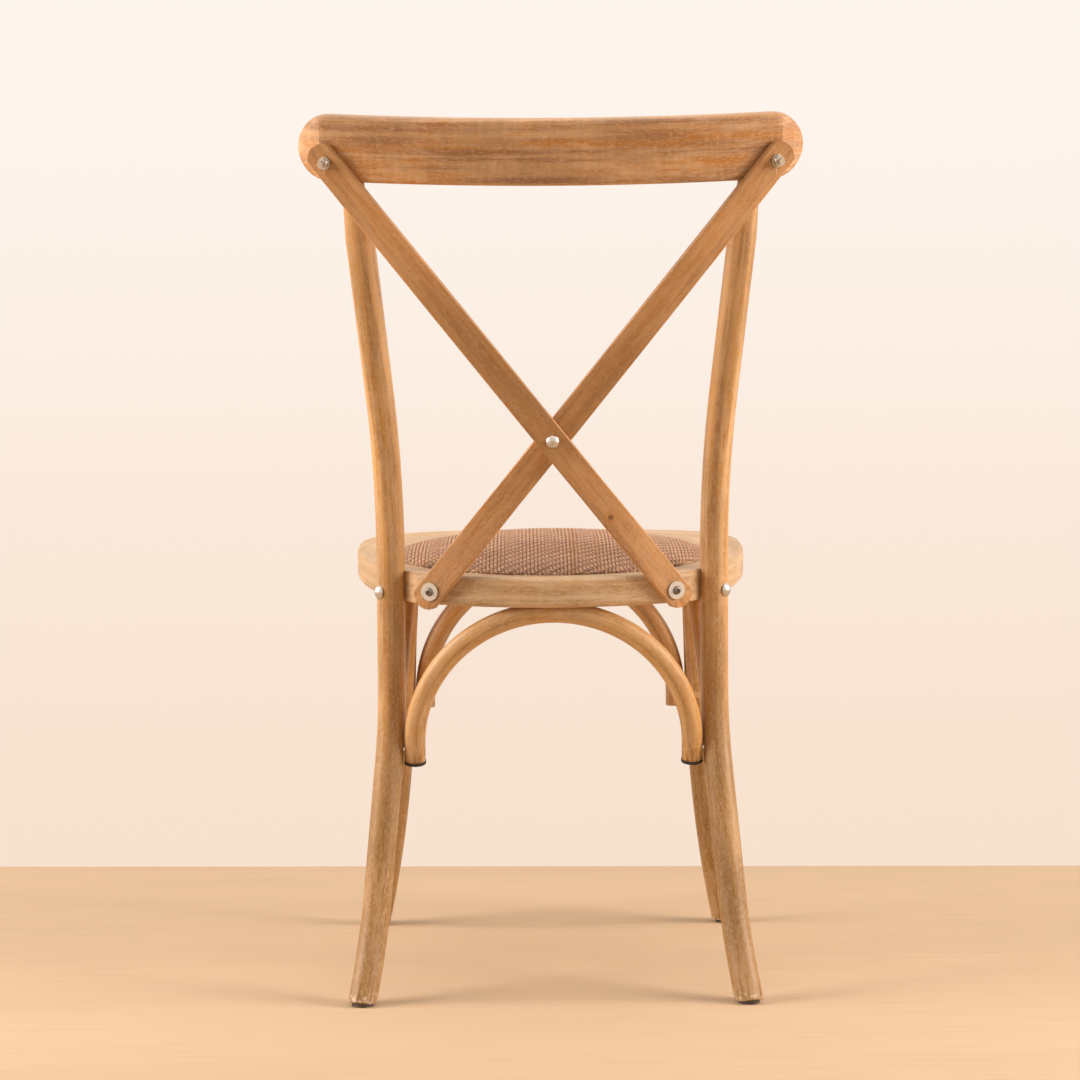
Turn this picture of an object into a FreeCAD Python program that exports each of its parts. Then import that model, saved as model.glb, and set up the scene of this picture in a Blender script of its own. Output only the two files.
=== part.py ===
import FreeCAD, Part
import math
import os
import Sketcher

# Cross back dining chair: bent round legs, a bent back rail, two crossed straps,
# a bent seat ring with a crowned woven pad, and four bent arches under the seat.
# Millimetres. +Z is up, the sitter faces -Y, the sitter's left side is +X.

Vec = FreeCAD.Vector
Rot = FreeCAD.Rotation
Place = FreeCAD.Placement
UP = Vec(0, 0, 1)

doc = FreeCAD.newDocument("CrossBackChair")

# Driving dimensions. Depths are measured forward from the rearmost point of the seat ring.
SIZES = [
    ("origin_depth", 167.6),
    # seat ring
    ("seat_width", 420.0),
    ("seat_depth", 404.0),
    ("ring_thickness", 31.0),
    ("ring_rear_height", 398.5),
    ("ring_slope", 3.4),
    ("rear_turn", 28.0),
    ("rear_corner_turn", 66.0),
    ("side_turn", 94.0),
    ("front_corner_turn", 164.0),
    ("rear_corner_radius", 85.0),
    ("front_corner_radius", 90.0),
    ("ring_edge_radius", 5.0),
    ("opening_radius", 142.0),
    ("opening_depth", 184.0),
    ("rebate_radius", 166.0),
    ("rebate_depth", 10.0),
    # woven seat
    ("panel_thickness", 6.0),
    ("weave_thickness", 2.4),
    ("weave_rim_height", 2.0),
    ("shoulder_height", 7.0),
    ("shoulder_width", 15.0),
    ("crown_height", 22.0),
    ("crown_flat", 4.0),
    ("soft_gap", 0.3),
    # legs
    ("leg_diameter", 29.0),
    ("rear_leg_spread", 331.6),
    ("rear_leg_depth", 62.0),
    ("rear_leg_plane", 19.5),
    ("rear_foot_run", 31.0),
    ("rear_foot_angle", 28.0),
    ("rear_foot_radius", 365.0),
    ("rear_shin_run", 134.0),
    ("rear_shin_angle", 14.5),
    ("rear_knee_radius", 300.0),
    ("rear_seat_run", 130.0),
    ("rear_back_radius", 600.0),
    ("rear_back_angle", 17.0),
    ("rear_back_run", 160.0),
    ("rear_top_diameter", 21.0),
    ("crest_tenon_diameter", 14.0),
    ("crest_tenon_length", 24.0),
    ("front_leg_spread", 322.8),
    ("front_leg_depth", 347.0),
    ("front_leg_plane", 37.0),
    ("front_foot_run", 8.0),
    ("front_foot_angle", 20.0),
    ("front_leg_radius", 900.0),
    ("front_top_angle", 3.0),
    ("front_top_run", 165.0),
    ("seat_tenon_diameter", 20.0),
    ("seat_tenon_length", 20.0),
    # seat notch for each rear leg
    ("notch_angle", 56.0),
    ("leg_flat_depth", 4.5),
    ("notch_inner_width", 31.0),
    ("notch_outer_width", 60.0),
    ("flat_allowance", 1.5),
    # crest rail
    ("crest_length", 500.0),
    ("crest_height", 64.3),
    ("crest_thickness", 22.0),
    ("crest_bend_radius", 640.0),
    ("crest_rake", 12.0),
    ("crest_centre_height", 850.8),
    ("crest_setback", 60.5),
    ("crest_facet_start", 228.0),
    ("crest_facet_angle", 38.0),
    ("crest_edge_radius", 4.0),
    # crossed straps
    ("strap_width", 28.6),
    ("strap_thickness", 8.0),
    ("strap_edge_radius", 1.4),
    ("strap_top_spread", 432.0),
    ("strap_top_drop", 6.8),
    ("strap_foot_spread", 242.0),
    ("strap_foot_height", 415.0),
    ("strap_end_reach", 19.5),
    ("strap_end_radius", 15.5),
    ("strap_cross_setback", 18.0),
    ("strap_gap", 0.25),
    # arches under the seat
    ("arch_diameter", 21.6),
    ("arch_housing", 4.5),
    ("rear_arch_end_height", 238.0),
    ("front_arch_end_height", 256.0),
    ("side_arch_end_height", 268.0),
    ("rear_arch_top_depth", 17.0),
    ("side_arch_top_spread", 308.0),
    ("arch_gap", 0.4),
    ("arch_pad_thickness", 3.2),
    ("arch_pad_lip", 0.4),
    # glides
    ("glide_diameter", 22.0),
    ("glide_thickness", 4.0),
    ("glide_nail_diameter", 3.0),
    ("glide_nail_length", 16.0),
    # fasteners
    ("bolt_diameter", 6.0),
    ("bolt_tip", 5.0),
    ("cap_diameter", 13.0),
    ("cap_height", 3.0),
    ("nut_width", 10.0),
    ("nut_height", 5.0),
    ("small_washer_diameter", 13.0),
    ("washer_diameter", 18.5),
    ("washer_thickness", 1.5),
    ("barrel_diameter", 8.0),
    ("barrel_length", 11.0),
    ("socket_width", 4.0),
    ("socket_depth", 2.0),
    ("screw_diameter", 4.5),
    ("screw_head_diameter", 9.0),
    ("screw_head_height", 2.6),
    ("strap_screw_length", 38.0),
    ("arch_screw_length", 30.0),
    ("plug_diameter", 9.6),
    ("plug_depth", 6.0),
    ("leg_bolt_height", 411.5),
    ("carriage_head_diameter", 14.5),
    ("carriage_head_height", 4.2),
    ("panel_screw_diameter", 3.5),
    ("panel_screw_length", 24.0),
    ("panel_screw_radius", 151.0),
    # clearances
    ("hole_clearance", 0.15),
    ("tenon_clearance", 0.2),
    ("contact_gap", 0.1),
]

sheet = doc.addObject("Spreadsheet::Sheet", "Sizes")
for row, (alias, number) in enumerate(SIZES, start=1):
    sheet.set(f"A{row}", alias)
    sheet.set(f"B{row}", str(number))
    sheet.setAlias(f"B{row}", alias)
doc.recompute()


def val(alias):
    """The number held by one named cell of the sheet."""
    return float(sheet.get(alias))


def sin(degrees):
    return math.sin(math.radians(degrees))


def cos(degrees):
    return math.cos(math.radians(degrees))


def world_y(depth):
    """The Y of a point that lies the given depth in front of the seat's rearmost point."""
    return val("origin_depth") - depth


# Finished sub-parts, in the order in which they are assembled
finished = []


def finish(obj, label):
    """Give a sub-part its name and put it on the list that is written out."""
    obj.Label = label
    finished.append(obj)
    return obj


def cylinder(name, radius, height, base, axis):
    """A cylinder whose radius and height are expressions of the sheet."""
    obj = doc.addObject("Part::Cylinder", name)
    obj.setExpression("Radius", radius)
    obj.setExpression("Height", height)
    obj.Placement = Place(base, Rot(UP, axis))
    return obj


def cone(name, radius_one, radius_two, height, base, axis):
    obj = doc.addObject("Part::Cone", name)
    obj.setExpression("Radius1", radius_one)
    obj.setExpression("Radius2", radius_two)
    obj.setExpression("Height", height)
    obj.Placement = Place(base, Rot(UP, axis))
    return obj


def prism(name, width, height, base, axis):
    """A hexagonal prism measured across its flats."""
    obj = doc.addObject("Part::Prism", name)
    obj.Polygon = 6
    obj.setExpression("Circumradius", f"({width}) / sqrt(3)")
    obj.setExpression("Height", height)
    obj.Placement = Place(base, Rot(UP, axis))
    return obj


def fuse(name, shapes):
    obj = doc.addObject("Part::MultiFuse", name)
    obj.Shapes = shapes
    return obj


def cut(name, base, tools):
    """The base less one or more tools."""
    obj = doc.addObject("Part::Cut", name)
    obj.Base = base
    obj.Tool = tools[0] if len(tools) == 1 else fuse(name + "_tools", tools)
    return obj


def group(name, shapes):
    """Separate solids of one kind, kept together under one name."""
    obj = doc.addObject("Part::Compound", name)
    obj.Links = shapes
    return obj


# Bent rods: each is a round section swept along a sketched line of straight runs and arcs

def bend_sketch(name, runs, placement):
    """A path of straight runs joined by tangent arcs, drawn upwards from its lower end.

    runs holds ("line", length, angle) and ("arc", radius); an angle leans from the
    vertical towards the sketch's +X. The sketch's own plane is XZ of the placement.
    Returns the sketch, its points and the direction of its last run.
    """
    sketch = doc.addObject("Sketcher::SketchObject", name)
    sketch.Placement = placement.multiply(Place(Vec(), Rot(Vec(1, 0, 0), 90)))
    points = [Vec(0, 0, 0)]
    angles = [run[2] for run in runs if run[0] == "line"]
    line_at = 0
    bound = []
    for run in runs:
        start = points[-1]
        if run[0] == "line":
            angle = val_of(angles[line_at])
            reach = val_of(run[1])
            end = start + Vec(sin(angle), cos(angle), 0) * reach
            index = sketch.addGeometry(Part.LineSegment(start, end), False)
            bound.append((index, "line", run[1], angles[line_at]))
            line_at += 1
        else:
            before = val_of(angles[line_at - 1])
            after = val_of(angles[line_at])
            radius = val_of(run[1])
            side = 1 if after > before else -1
            centre = start + Vec(cos(before), -sin(before), 0) * radius * side
            middle_angle = 0.5 * (before + after)
            middle = centre + Vec(-cos(middle_angle), sin(middle_angle), 0) * radius * side
            end = centre + Vec(-cos(after), sin(after), 0) * radius * side
            index = sketch.addGeometry(Part.Arc(start, middle, end), False)
            bound.append((index, "arc", run[1], side))
        points.append(end)
    tie_bends(sketch, bound)
    last = val_of(angles[-1])
    return sketch, points, Vec(sin(last), cos(last), 0)


def val_of(size):
    """A size given as an alias, an alias with a minus sign, or a plain number."""
    if isinstance(size, (int, float)):
        return float(size)
    if size.startswith("-"):
        return -val(size[1:])
    return val(size)


def expression_of(size):
    if isinstance(size, (int, float)):
        return str(size)
    if size.startswith("-"):
        return "-Sizes." + size[1:]
    return "Sizes." + size


def tie_bends(sketch, bound):
    """Hold a path's runs by their lengths, radii and angles, taken from the sheet."""
    sketch.addConstraint(Sketcher.Constraint("Coincident", bound[0][0], 1, -1, 1))
    previous = None
    for index, kind, size, extra in bound:
        if kind == "line":
            length = sketch.addConstraint(
                Sketcher.Constraint("Distance", index, val_of(size)))
            sketch.setExpression(f"Constraints[{length}]", expression_of(size))
            angle = sketch.addConstraint(
                Sketcher.Constraint("Angle", index, math.radians(90 - val_of(extra))))
            sketch.setExpression(f"Constraints[{angle}]", f"90 deg - ({expression_of(extra)}) * 1 deg")
        else:
            radius = sketch.addConstraint(
                Sketcher.Constraint("Radius", index, val_of(size)))
            sketch.setExpression(f"Constraints[{radius}]", expression_of(size))
        if previous is not None:
            join_ends(sketch, previous, (index, kind, extra))
        previous = (index, kind, extra)


def join_ends(sketch, first, second):
    """Join the far end of one run to the near end of the next, tangent to it."""
    sketch.addConstraint(Sketcher.Constraint(
        "Tangent", first[0], end_of(first), second[0], start_of(second)))


def start_of(run):
    """Arcs are stored anticlockwise, so one that turns to the right starts at its end."""
    return 1 if run[1] == "line" or run[2] < 0 else 2


def end_of(run):
    return 2 if run[1] == "line" or run[2] < 0 else 1


def sweep(name, sketch, diameter, start, direction):
    """A round rod along a sketched path."""
    section = doc.addObject("Part::Circle", name + "_section")
    section.setExpression("Radius", f"Sizes.{diameter} / 2")
    section.Placement = Place(start, Rot(UP, direction))
    rod = doc.addObject("Part::Sweep", name)
    rod.Sections = [section]
    edges = [f"Edge{i + 1}" for i in range(len(sketch.Geometry))]
    rod.Spine = (sketch, edges)
    rod.Solid = True
    rod.Frenet = False
    return rod


class BentLeg:
    """A leg bent in one upright plane, placed by its straight run at the seat."""

    def __init__(self, name, side, spread, depth, plane_angle, outwards, runs, seat_point):
        self.side = side
        seat_xy = Vec(side * val(spread) / 2, world_y(val(depth)), 0)
        if outwards == "rear":
            bearing = math.degrees(math.atan2(cos(val(plane_angle)), side * sin(val(plane_angle))))
        else:
            bearing = math.degrees(math.atan2(-cos(val(plane_angle)), side * sin(val(plane_angle))))
        self.turn = Rot(UP, bearing)
        flat = walk(runs)
        self.flat = [p - Vec(flat[seat_point].x, 0, 0) for p in flat]
        base = seat_xy + self.turn.multVec(Vec(self.flat[0].x, 0, 0))
        self.placement = Place(base, self.turn)
        self.base = base
        self.sketch, points, last = bend_sketch(name + "_path", runs, self.placement)
        first = [run for run in runs if run[0] == "line"][0]
        lean = val_of(first[2])
        start_way = self.turn.multVec(Vec(sin(lean), 0, cos(lean)))
        self.top = base + self.turn.multVec(Vec(points[-1].x, 0, points[-1].y))
        self.top_way = self.turn.multVec(Vec(last.x, 0, last.y))
        self.rod = sweep(name + "_rod", self.sketch, "leg_diameter", base, start_way)
        self.seat_xy = seat_xy
        self.runs = runs

    def at_height(self, height):
        """The leg's centre at a height, found along its own path."""
        for a, b, kind, radius in spans(self.runs):
            if a.y <= height <= b.y:
                return self.along(a, b, kind, radius, height)
        raise ValueError("height is off the leg")

    def along(self, a, b, kind, radius, height):
        if kind == "line":
            x = a.x + (b.x - a.x) * (height - a.y) / (b.y - a.y)
        else:
            centre, size = radius
            root = math.sqrt(size * size - (height - centre.y) ** 2)
            x = centre.x + (root if a.x > centre.x else -root)
        spot = self.base + self.turn.multVec(Vec(x, 0, 0))
        return Vec(spot.x, spot.y, height)


def spans(runs):
    """Each run of a path with its ends and, for an arc, its centre and radius."""
    angles = [run[2] for run in runs if run[0] == "line"]
    line_at = 0
    at = Vec(0, 0, 0)
    found = []
    for run in runs:
        if run[0] == "line":
            angle = val_of(angles[line_at])
            end = at + Vec(sin(angle), cos(angle), 0) * val_of(run[1])
            found.append((at, end, "line", None))
            line_at += 1
        else:
            before = val_of(angles[line_at - 1])
            after = val_of(angles[line_at])
            radius = val_of(run[1])
            side = 1 if after > before else -1
            centre = at + Vec(cos(before), -sin(before), 0) * radius * side
            end = centre + Vec(-cos(after), sin(after), 0) * radius * side
            found.append((at, end, "arc", (centre, radius)))
        at = end
    return found


def walk(runs):
    """The corner points of a path in its own plane."""
    found = spans(runs)
    return [found[0][0]] + [span[1] for span in found]


REAR_RUNS = [
    ("line", "rear_foot_run", "-rear_foot_angle"),
    ("arc", "rear_foot_radius"),
    ("line", "rear_shin_run", "-rear_shin_angle"),
    ("arc", "rear_knee_radius"),
    ("line", "rear_seat_run", 0),
    ("arc", "rear_back_radius"),
    ("line", "rear_back_run", "rear_back_angle"),
]
FRONT_RUNS = [
    ("line", "front_foot_run", "-front_foot_angle"),
    ("arc", "front_leg_radius"),
    ("line", "front_top_run", "-front_top_angle"),
]

SIDES = {"left": 1, "right": -1}
rear_legs = {
    name: BentLeg("rear_leg_" + name, side, "rear_leg_spread", "rear_leg_depth",
                  "rear_leg_plane", "rear", REAR_RUNS, 4)
    for name, side in SIDES.items()
}
front_legs = {
    name: BentLeg("front_leg_" + name, side, "front_leg_spread", "front_leg_depth",
                  "front_leg_plane", "front", FRONT_RUNS, 3)
    for name, side in SIDES.items()
}

# Frames of the raked crest rail and of the sloping seat ring

CREST_TURN = Rot(Vec(1, 0, 0), -val("crest_rake"))
CREST_CENTRE = Vec(0, world_y(-val("crest_setback")), val("crest_centre_height"))
RING_TURN = Rot(Vec(1, 0, 0), -val("ring_slope"))
RING_BASE = Vec(0, world_y(0), val("ring_rear_height"))
RING_PLACE = Place(RING_BASE, RING_TURN)
RING_UP = RING_TURN.multVec(UP)


def ring_point(x, depth, up):
    """A point given in the seat ring's own frame: across, forward and up from its underside."""
    return RING_PLACE.multVec(Vec(x, -depth, up))


def underside_height(depth):
    """The height of the ring's underside at a depth."""
    slope = math.tan(math.radians(val("ring_slope")))
    return val("ring_rear_height") + slope * depth


def origin_plane(body, role):
    return next(f for f in body.Origin.OriginFeatures if f.Role == role)


def body_sketch(body, name, role, lift=None):
    """A sketch on one of its body's own planes, lifted by an expression when asked."""
    sketch = body.newObject("Sketcher::SketchObject", name)
    sketch.AttachmentSupport = [(origin_plane(body, role), "")]
    sketch.MapMode = "FlatFace"
    if lift:
        sketch.setExpression(".AttachmentOffset.Base.z", lift)
    return sketch


def bound_circle(sketch, x, y, radius):
    """A circle with its centre fixed and its radius taken from the sheet."""
    index = sketch.addGeometry(Part.Circle(Vec(x, y, 0), UP, 1), False)
    across = sketch.addConstraint(Sketcher.Constraint("DistanceX", -1, 1, index, 3, x))
    along = sketch.addConstraint(Sketcher.Constraint("DistanceY", -1, 1, index, 3, y))
    size = sketch.addConstraint(Sketcher.Constraint("Radius", index, 1))
    sketch.setExpression(f"Constraints[{size}]", radius)
    return across, along, size


def pad(body, sketch, name, length):
    feature = body.newObject("PartDesign::Pad", name)
    feature.Profile = sketch
    feature.setExpression("Length", length)
    return feature


def pocket(body, sketch, name, length):
    feature = body.newObject("PartDesign::Pocket", name)
    feature.Profile = sketch
    feature.setExpression("Length", length)
    return feature


# Seat ring

def seat_turns():
    """The tangent angles at which the seat outline passes from one arc to the next."""
    names = ("rear_turn", "rear_corner_turn", "side_turn", "front_corner_turn")
    return [val(name) for name in names]


def seat_radii():
    """Radii of the rear, corner, side, corner and front arcs.

    The corners are given. The rear, side and front arcs follow from the seat's
    width, its depth and the outline closing on the centre line.
    """
    a, b, c, d = seat_turns()
    rear_corner = val("rear_corner_radius")
    front_corner = val("front_corner_radius")
    rows = [
        [sin(a), 1 - sin(b), 0.0,
         val("seat_width") / 2 - rear_corner * (sin(b) - sin(a))],
        [sin(a), sin(c) - sin(b), -sin(d),
         -rear_corner * (sin(b) - sin(a)) - front_corner * (sin(d) - sin(c))],
        [1 - cos(a), cos(b) - cos(c), 1 + cos(d),
         val("seat_depth") - rear_corner * (cos(a) - cos(b)) - front_corner * (cos(c) - cos(d))],
    ]
    rear, side, front = solve_three(rows)
    return [rear, rear_corner, side, front_corner, front]


def solve_three(rows):
    """Three linear equations in three unknowns, by elimination."""
    rows = [list(row) for row in rows]
    for i in range(3):
        pivot = max(range(i, 3), key=lambda r: abs(rows[r][i]))
        rows[i], rows[pivot] = rows[pivot], rows[i]
        for r in range(3):
            if r != i:
                share = rows[r][i] / rows[i][i]
                rows[r] = [v - share * w for v, w in zip(rows[r], rows[i])]
    return [rows[i][3] / rows[i][i] for i in range(3)]


def seat_outline():
    """Arcs of the seat's right-hand outline, from the rear round to the front."""
    turns = [0.0] + seat_turns() + [180.0]
    at = Vec(0, 0, 0)
    arcs = []
    for radius, start, end in zip(seat_radii(), turns[:-1], turns[1:]):
        middle = 0.5 * (start + end)

        def step(to, origin=at, size=radius, first=start):
            return origin + Vec(size * (sin(to) - sin(first)), -size * (cos(first) - cos(to)), 0)

        arcs.append((at, step(middle), step(end)))
        at = step(end)
    return arcs


def mirror_x(point):
    return Vec(-point.x, point.y, point.z)


def make_seat_ring():
    body = doc.addObject("PartDesign::Body", "SeatRingBody")
    outline = body_sketch(body, "RingOutline", "XY_Plane")
    arcs = seat_outline()
    mirrored = [tuple(mirror_x(p) for p in arc[::-1]) for arc in arcs[::-1]]
    for start, middle, end in arcs + mirrored:
        outline.addGeometry(Part.Arc(start, middle, end), False)
    pad(body, outline, "RingPad", "Sizes.ring_thickness")
    for name, radius, depth in (
            ("Rebate", "Sizes.rebate_radius", "Sizes.rebate_depth"),
            ("Opening", "Sizes.opening_radius", "Sizes.ring_thickness + 1")):
        sketch = body_sketch(body, name + "Sketch", "XY_Plane", "Sizes.ring_thickness")
        bound_circle(sketch, 0, -val("opening_depth"), radius)
        pocket(body, sketch, name, depth)
    doc.recompute()
    names = []
    limit = val("rebate_radius") + 1
    middle = Vec(0, -val("opening_depth"), 0)
    for number, edge in enumerate(body.Shape.Edges, start=1):
        box = edge.BoundBox
        spot = edge.valueAt(0.5 * (edge.FirstParameter + edge.LastParameter))
        reach = math.hypot(spot.x - middle.x, spot.y - middle.y)
        if box.ZLength < 0.1 and reach > limit:
            names.append(f"Edge{number}")
    base = body.Tip
    rounding = body.newObject("PartDesign::Fillet", "RingRounding")
    rounding.Base = (base, names)
    rounding.setExpression("Radius", "Sizes.ring_edge_radius")
    body.Placement = RING_PLACE
    doc.recompute()
    return body


ring_blank = make_seat_ring()


def notch_way(side):
    """The level direction in which a rear leg's bolt points outwards."""
    return Vec(side * sin(val("notch_angle")), cos(val("notch_angle")), 0)


def notch_face(side):
    """A point at the foot of the flat where leg and ring meet."""
    inset = val("leg_diameter") / 2 - val("leg_flat_depth")
    seat_xy = Vec(side * val("rear_leg_spread") / 2, world_y(val("rear_leg_depth")), 0)
    return seat_xy - notch_way(side) * inset


def notch_tool(name, side):
    """The block that is cut out of the ring for a rear leg."""
    tool = doc.addObject("Part::Box", name)
    tool.setExpression("Length", "Sizes.notch_inner_width + Sizes.notch_outer_width")
    tool.setExpression("Width", "3 * Sizes.leg_diameter")
    tool.setExpression("Height", "4 * Sizes.ring_thickness")
    away = notch_way(side)
    across = UP.cross(away) * -1
    near = val("notch_inner_width") if side > 0 else val("notch_outer_width")
    base = notch_face(side) - across * near
    base.z = val("ring_rear_height") - val("ring_thickness")
    tool.Placement = Place(base, Rot(across, away, UP, "XYZ"))
    return tool


def notch_recess(name, side):
    """The part of the notch that runs straight back from its inner wall."""
    tool = doc.addObject("Part::Box", name)
    tool.setExpression("Length", "2 * Sizes.notch_inner_width")
    tool.setExpression("Width", "3 * Sizes.leg_diameter")
    tool.setExpression("Height", "4 * Sizes.ring_thickness")
    along = UP.cross(notch_way(side)) * side
    base = notch_face(side) + along * val("notch_inner_width")
    base.z = val("ring_rear_height") - val("ring_thickness")
    if side < 0:
        base.x -= 2 * val("notch_inner_width")
    tool.Placement = Place(base, Rot())
    return tool


def flat_tool(name, side):
    """The block that cuts a rear leg's flat over the ring's thickness."""
    tool = doc.addObject("Part::Box", name)
    tool.setExpression("Length", "2 * Sizes.leg_diameter")
    tool.setExpression("Width", "Sizes.leg_diameter")
    tool.setExpression("Height", "Sizes.ring_thickness + 2 * Sizes.flat_allowance")
    away = notch_way(side)
    across = UP.cross(away) * -1
    depth = val("rear_leg_depth")
    back = val("leg_diameter") - val("contact_gap")
    base = notch_face(side) - across * val("leg_diameter") - away * back
    base.z = underside_height(depth) - val("flat_allowance")
    tool.Placement = Place(base, Rot(across, away, UP, "XYZ"))
    return tool


# Crest rail

def crest_place():
    lift = CREST_TURN.multVec(Vec(0, 0, -val("crest_height") / 2))
    return Place(CREST_CENTRE + lift, CREST_TURN)


def crest_point(x, offset, up=0.0):
    """A point at x, offset from the rail's curved middle towards the rear, up from its middle."""
    radius = val("crest_bend_radius")
    angle = math.asin(x / radius)
    size = radius + offset
    local = Vec(size * math.sin(angle), size * math.cos(angle) - radius, up)
    return CREST_CENTRE + CREST_TURN.multVec(local)


def crest_normal(x):
    angle = math.asin(x / val("crest_bend_radius"))
    return CREST_TURN.multVec(Vec(math.sin(angle), math.cos(angle), 0))


def make_crest_blank():
    body = doc.addObject("PartDesign::Body", "CrestBody")
    plan = body_sketch(body, "CrestPlan", "XY_Plane")
    radius = val("crest_bend_radius")
    half = val("crest_thickness") / 2
    reach = math.asin((val("crest_length") / 2 + 2 * half) / radius)

    def on_arc(size, angle):
        return Vec(size * math.sin(angle), size * math.cos(angle) - radius, 0)

    rear = [on_arc(radius + half, a) for a in (-reach, 0, reach)]
    front = [on_arc(radius - half, a) for a in (-reach, 0, reach)]
    plan.addGeometry(Part.Arc(*rear), False)
    plan.addGeometry(Part.Arc(*front), False)
    plan.addGeometry(Part.LineSegment(rear[0], front[0]), False)
    plan.addGeometry(Part.LineSegment(rear[2], front[2]), False)
    pad(body, plan, "CrestPad", "Sizes.crest_height")
    ends = body_sketch(body, "CrestEnds", "XZ_Plane")
    height = val("crest_height")
    round_end = height / 2
    straight = val("crest_length") / 2 - round_end
    spare = val("crest_thickness")
    far = val("crest_length") / 2 + 4 * spare
    for side in (1, -1):
        low = Vec(side * straight, 0, 0)
        high = Vec(side * straight, height, 0)
        tip = Vec(side * (straight + round_end), round_end, 0)
        corners = [high, high + Vec(0, spare, 0), Vec(side * far, height + spare, 0),
                   Vec(side * far, -spare, 0), low - Vec(0, spare, 0), low]
        ends.addGeometry(Part.Arc(low, tip, high), False)
        for a, b in zip(corners[:-1], corners[1:]):
            ends.addGeometry(Part.LineSegment(a, b), False)
    trim = pocket(body, ends, "CrestEndTrim", "Sizes.crest_length")
    trim.Midplane = True
    doc.recompute()
    round_crest_edges(body)
    facet_crest_ends(body, radius + half)
    body.Placement = crest_place()
    doc.recompute()
    return body


def round_crest_edges(body):
    """Round the long edges of both faces, which run on round the ends."""
    names = []
    for number, edge in enumerate(body.Shape.Edges, start=1):
        if edge.BoundBox.XLength > val("crest_height") / 4:
            names.append(f"Edge{number}")
    base = body.Tip
    rounding = body.newObject("PartDesign::Fillet", "CrestRounding")
    rounding.Base = (base, names)
    rounding.setExpression("Radius", "Sizes.crest_edge_radius")
    doc.recompute()


def facet_crest_ends(body, rear_radius):
    """A flat facet across the rear face at both ends."""
    facets = body_sketch(body, "CrestFacets", "XY_Plane", "Sizes.crest_height")
    start = val("crest_facet_start")
    run = val("crest_height")
    depth = math.sqrt(rear_radius * rear_radius - start * start) - val("crest_bend_radius")
    for side in (1, -1):
        near = Vec(side * start, depth, 0)
        far = near + Vec(side * cos(val("crest_facet_angle")), -sin(val("crest_facet_angle")), 0) * run
        outer = Vec(far.x, depth + run, 0)
        back = Vec(near.x, depth + run, 0)
        inner = near + Vec(-side * 0.5, 0.3, 0)
        corners = [inner, near, far, outer, back, inner]
        for a, b in zip(corners[:-1], corners[1:]):
            facets.addGeometry(Part.LineSegment(a, b), False)
    pocket(body, facets, "CrestFacetCut", "Sizes.crest_height")
    doc.recompute()


crest_blank = make_crest_blank()


# Crossed straps of the back

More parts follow.
